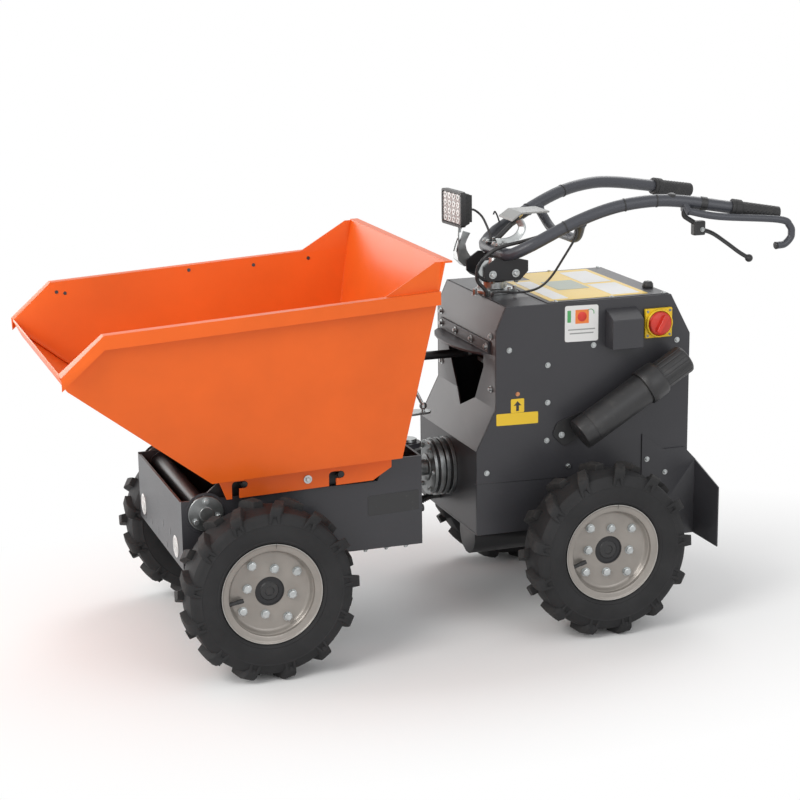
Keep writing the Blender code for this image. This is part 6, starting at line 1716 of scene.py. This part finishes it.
class DUMPER_OT_lamp(bpy.types.Operator):
    """Square work lamp with cooling fins, hatched lens, reflectors and its strap"""
    bl_idname = "dumper.lamp"
    bl_label = "Lamp"

    def execute(self, context):
        low, high = spot(0.5835, 0.033, 0.919), spot(0.6195, 0.137, 1.0034)
        middle = (low + high) / 2
        yaw = turned_about(middle, LAMP_YAW, "Z")
        depth = high.x - low.x

        def narrow(shape):
            for vert in shape.verts:
                share = 1 - 0.22 * max(0.0, (vert.co.x - middle.x) / (depth / 2))
                vert.co.y = middle.y + (vert.co.y - middle.y) * share
                vert.co.z = middle.z + (vert.co.z - middle.z) * share

        shell = block((low.x + 0.01, low.y + 0.002, low.z + 0.002),
                      (high.x - 0.008, high.y - 0.002, high.z - 0.002), 0.003, 3, narrow)
        shape = bmesh.new()
        bmesh.ops.create_cube(shape, size=1)
        bezel_low, bezel_high = Vector(low), Vector((low.x + 0.013, high.y, high.z))
        for vert in shape.verts:
            vert.co = Vector(vert.co * (bezel_high - bezel_low)) + (bezel_low + bezel_high) / 2
        side_edges = [edge for edge in shape.edges
                      if abs(edge.verts[0].co.x - edge.verts[1].co.x) > 0.005]
        bmesh.ops.bevel(shape, geom=side_edges, offset=0.007, offset_type="OFFSET", segments=4,
                        profile=0.5, affect="EDGES")
        front = min(shape.faces, key=lambda face: face.calc_center_median().x)
        bmesh.ops.inset_individual(shape, faces=[front], thickness=0.0055, depth=0)
        bmesh.ops.inset_individual(shape, faces=[front], thickness=0.0012, depth=-0.0034)
        parts = [shell, from_bmesh("bezel", shape, 30)]
        fin = block((high.x - 0.01, low.y + 0.013, low.z + 0.01),
                    (high.x, low.y + 0.0158, high.z - 0.01), 0.0005, 1)
        parts.append(grow(TREES["row"], fin, {
            "Count": 13, "Step": (0.0, 0.0063, 0.0), "Finish": LOOK["plastic"]}))
        lamp = merged("lamp", parts)
        lamp.transform(yaw)
        piece("lamp_body", lamp, "plastic", "handlebar", "work_lamp", slot="black_parts")
        lens = block((low.x + 0.0016, low.y + 0.0072, low.z + 0.0072),
                     (low.x + 0.005, high.y - 0.0072, high.z - 0.0072), 0.0008)
        lens.transform(yaw)
        piece("lamp_lens", lens, "lens", "handlebar")
        cups = []
        for row in range(4):
            for column in range(4):
                place = Vector((low.x + 0.0016, low.y + 0.0187 + column * 0.0222,
                                low.z + 0.0155 + row * 0.0183))
                cups.append(lathe([(0.0, 0.0), (0.0, 0.003), (0.001, 0.0034), (0.001, 0.0074),
                                   (0.0, 0.008)], place, (-1, 0, 0), 28))
        cups = merged("cups", cups)
        cups.transform(yaw)
        piece("lamp_reflectors", cups, "disc", "handlebar")
        ahead = tuple(yaw.to_3x3() @ Vector((-1, 0, 0)))
        screws = [(yaw @ Vector((low.x, y, z)), ahead) for y in (low.y + 0.0042, high.y - 0.0042)
                  for z in (low.z + 0.0085, high.z - 0.0085)]
        bolts("lamp_screws", screws, "handlebar", 0.003, 0.001, 0.0024, look="steel", seed=22,
              thin=0.0004)
        softened("lamp_bracket", "zinc", "handlebar", "zinc_plate", 0.0006)
        cheek = slab(shifted(LAMP_CHEEK), 0.0632, 0.0656, "xz", 0.0007)
        # Painted shade: thin black slabs on the strap's cheek stand for the dark insides of its two
        # slots.
        slot_shades = []
        for step in (0.0, 0.0075):
            slot = shifted((x + step, z - step * 0.35) for x, z in (
                (0.5905, 0.8905), (0.5935, 0.8912), (0.5835, 0.86), (0.5805, 0.86)))
            slot_shades.append(slab(slot, 0.0629, 0.0634, "xz", 0.0002, 1))
        piece("lamp_strap_cheek", cheek, "zinc", "handlebar")
        piece("lamp_strap_slot_shade", merged("slot_shades", slot_shades), "label_black", "handlebar")
        strap_bolts = [(spot(0.628, 0.0783 + lean, 0.8255), (0, 0, 1)) for lean in (-0.007, 0.008)]
        bolts("lamp_strap_bolts", strap_bolts, "handlebar", 0.0075, 0.0042, 0.0066, seed=23,
              thin=0.001)
        head = lathe([(0.0, 0.0), (0.0, 0.007), (0.006, 0.007), (0.0065, 0.005),
                      (0.014, 0.005), (0.014, 0.0)], spot(0.6015, 0.0783, 0.916), (0, 0, -1), 6)
        piece("lamp_swivel_nut", head, "zinc", "handlebar")
        return {"FINISHED"}


# Stage

FRAME_PIXELS = 800
FOCAL_PIXELS = 2020.695
PICTURE_CENTRE = (354.124, 424.158)
CAMERA_EYE = (-1.08898, -4.40423, 1.66497)
CAMERA_TARGET = (0.3049, 0, 0.4763)
CAMERA_ROLL = -1.103
SENSOR_WIDTH = 36
LIGHTS = (
    ("key", (-3.2, -2.2, 3.4), 2.2, 105, (1.0, 0.985, 0.96)),
    ("fill", (1.8, -4.2, 2.6), 3.0, 42, (0.97, 0.98, 1.0)),
    ("rim", (2.8, 2.6, 3.4), 2.4, 50, (1.0, 1.0, 1.0)),
    ("front_sheen", (-1.9, 3.9, 0.9), 3.2, 70, (1.0, 0.99, 0.98)),
    ("front_wash", (-4.2, 0.6, 1.3), 2.6, 46, (1.0, 0.99, 0.98)))
LIGHT_TARGET = (0.35, 0, 0.45)
SKY_STRENGTH = 0.55
FADE_START, FADE_END = 0.5, 0.98


class DUMPER_OT_stage(bpy.types.Operator):
    """Camera at the photograph's angle, pale floor that fades to white, and soft lights"""
    bl_idname = "dumper.stage"
    bl_label = "Stage"

    def execute(self, context):
        scene = context.scene
        scene.view_settings.view_transform = "Standard"
        target, eye = spot(*CAMERA_TARGET), spot(*CAMERA_EYE)
        forward = (target - eye).normalized()
        right = forward.cross(Vector((0, 0, 1))).normalized()
        up = right.cross(forward)
        roll = radians(CAMERA_ROLL)
        side = right * cos(roll) + up * sin(roll)
        top = up * cos(roll) - right * sin(roll)
        lens = bpy.data.cameras.new("photo_camera")
        lens.sensor_width = SENSOR_WIDTH
        lens.lens = FOCAL_PIXELS / FRAME_PIXELS * SENSOR_WIDTH
        lens.shift_x = (FRAME_PIXELS / 2 - PICTURE_CENTRE[0]) / FRAME_PIXELS
        lens.shift_y = (PICTURE_CENTRE[1] - FRAME_PIXELS / 2) / FRAME_PIXELS
        camera = bpy.data.objects.new("photo_camera", lens)
        scene.collection.objects.link(camera)
        camera.matrix_world = Matrix((
            (side.x, top.x, -forward.x, eye.x), (side.y, top.y, -forward.y, eye.y),
            (side.z, top.z, -forward.z, eye.z), (0, 0, 0, 1)))
        scene.camera = camera
        self.make_floor(scene)
        self.make_sky(scene)
        for name, place, size, power, warmth in LIGHTS:
            lamp = bpy.data.lights.new(name, "AREA")
            lamp.size = size
            lamp.energy = power
            lamp.color = warmth
            light = bpy.data.objects.new(name, lamp)
            scene.collection.objects.link(light)
            light.visible_camera = False
            light.location = spot(*place)
            aim = spot(*LIGHT_TARGET) - light.location
            light.rotation_euler = aim.to_track_quat("-Z", "Y").to_euler()
        return {"FINISHED"}

    def make_floor(self, scene):
        """A wide disc: lit and shadowed near the machine, plain white further out."""
        mesh = lathe([(0.0, 0.0), (0.0, 9.0), (-0.02, 9.0), (-0.02, 0.0)],
                     (0, 0, FLOOR_Z - 0.0004), (0, 0, 1), 96)
        floor = bpy.data.objects.new("floor", mesh)
        scene.collection.objects.link(floor)
        finish = Finish("studio_floor", Roughness=0.9, Specular_IOR_Level=0.1)
        finish.colour(finish.blend(finish.noise(1.2), (0.93, 0.93, 0.93), (0.95, 0.95, 0.95)))
        x, y = finish.axis(0), finish.axis(1)
        reach = (x * x * 0.36 + y * y) ** 0.5
        path = finish.make("ShaderNodeLightPath", {}, {})
        glossy = finish.make("ShaderNodeLightPath", {}, {}, "Is Glossy Ray")
        through = finish.make("ShaderNodeLightPath", {}, {}, "Is Transmission Ray")
        seen = (path + glossy + through).remap(0, 1)
        glow = finish.make("ShaderNodeEmission", {}, {"Color": (1, 1, 1), "Strength": 1.0})
        mix = finish.make("ShaderNodeMixShader", {}, {0: seen * reach.remap(FADE_START, FADE_END)})
        node = mix.socket.node
        finish.tree.links.new(finish.shader.outputs[0], node.inputs[1])
        finish.tree.links.new(glow.socket, node.inputs[2])
        finish.tree.links.new(node.outputs[0], finish.output.inputs[0])
        mesh.materials.append(finish.material)

    def make_sky(self, scene):
        """White for the camera and reflections, softer for the light that it gives."""
        world = bpy.data.worlds.new("studio_sky")
        scene.world = world
        world.use_nodes = True
        tree = world.node_tree
        tree.nodes.clear()
        output = tree.nodes.new("ShaderNodeOutputWorld")
        mix = tree.nodes.new("ShaderNodeMixShader")
        path = tree.nodes.new("ShaderNodeLightPath")
        soft, white = (tree.nodes.new("ShaderNodeBackground") for _ in range(2))
        for shade, strength in ((soft, SKY_STRENGTH), (white, 1.0)):
            shade.inputs[0].default_value = (1, 1, 1, 1)
            shade.inputs[1].default_value = strength
        either, any_of = (tree.nodes.new("ShaderNodeMath") for _ in range(2))
        either.operation = any_of.operation = "MAXIMUM"
        for output_socket, input_socket in (
                (path.outputs["Is Camera Ray"], either.inputs[0]),
                (path.outputs["Is Glossy Ray"], either.inputs[1]),
                (either.outputs[0], any_of.inputs[0]),
                (path.outputs["Is Transmission Ray"], any_of.inputs[1]),
                (any_of.outputs[0], mix.inputs[0]), (soft.outputs[0], mix.inputs[1]),
                (white.outputs[0], mix.inputs[2]), (mix.outputs[0], output.inputs[0])):
            tree.links.new(output_socket, input_socket)


class DUMPER_PT_panel(bpy.types.Panel):
    """Sidebar list of everything that the add-on builds"""
    bl_label = "Site dumper"
    bl_idname = "DUMPER_PT_panel"
    bl_space_type = "VIEW_3D"
    bl_region_type = "UI"
    bl_category = "Dumper"

    def draw(self, context):
        for operator in OPERATORS:
            self.layout.operator(operator.bl_idname)
        for group in (sizes(), colours()):
            for key in group.__annotations__:
                self.layout.prop(group, key)


OPERATORS = (
    DUMPER_OT_stage, DUMPER_OT_cords, DUMPER_OT_tyres, DUMPER_OT_rims, DUMPER_OT_skip,
    DUMPER_OT_tip_shaft, DUMPER_OT_front_chassis, DUMPER_OT_swivel, DUMPER_OT_rear_box,
    DUMPER_OT_deck, DUMPER_OT_canister, DUMPER_OT_isolator, DUMPER_OT_bars, DUMPER_OT_grips,
    DUMPER_OT_clamp, DUMPER_OT_lever, DUMPER_OT_lamp)
CLASSES = (DumperSizes, DumperColours, *OPERATORS, DUMPER_PT_panel)


def register():
    for cls in CLASSES:
        bpy.utils.register_class(cls)
    bpy.types.Scene.dumper_sizes = bpy.props.PointerProperty(type=DumperSizes)
    bpy.types.Scene.dumper_colours = bpy.props.PointerProperty(type=DumperColours)


def unregister():
    del bpy.types.Scene.dumper_colours
    del bpy.types.Scene.dumper_sizes
    for cls in reversed(CLASSES):
        bpy.utils.unregister_class(cls)


def main():
    register()
    TREES.update(fasteners=fastener_tree(), ring=ring_tree(), row=row_tree(),
                 corrugated=corrugated_tree())
    mix_finishes()
    for operator in OPERATORS:
        group, name = operator.bl_idname.split(".")
        getattr(getattr(bpy.ops, group), name)()


if __name__ == "__main__":
    main()
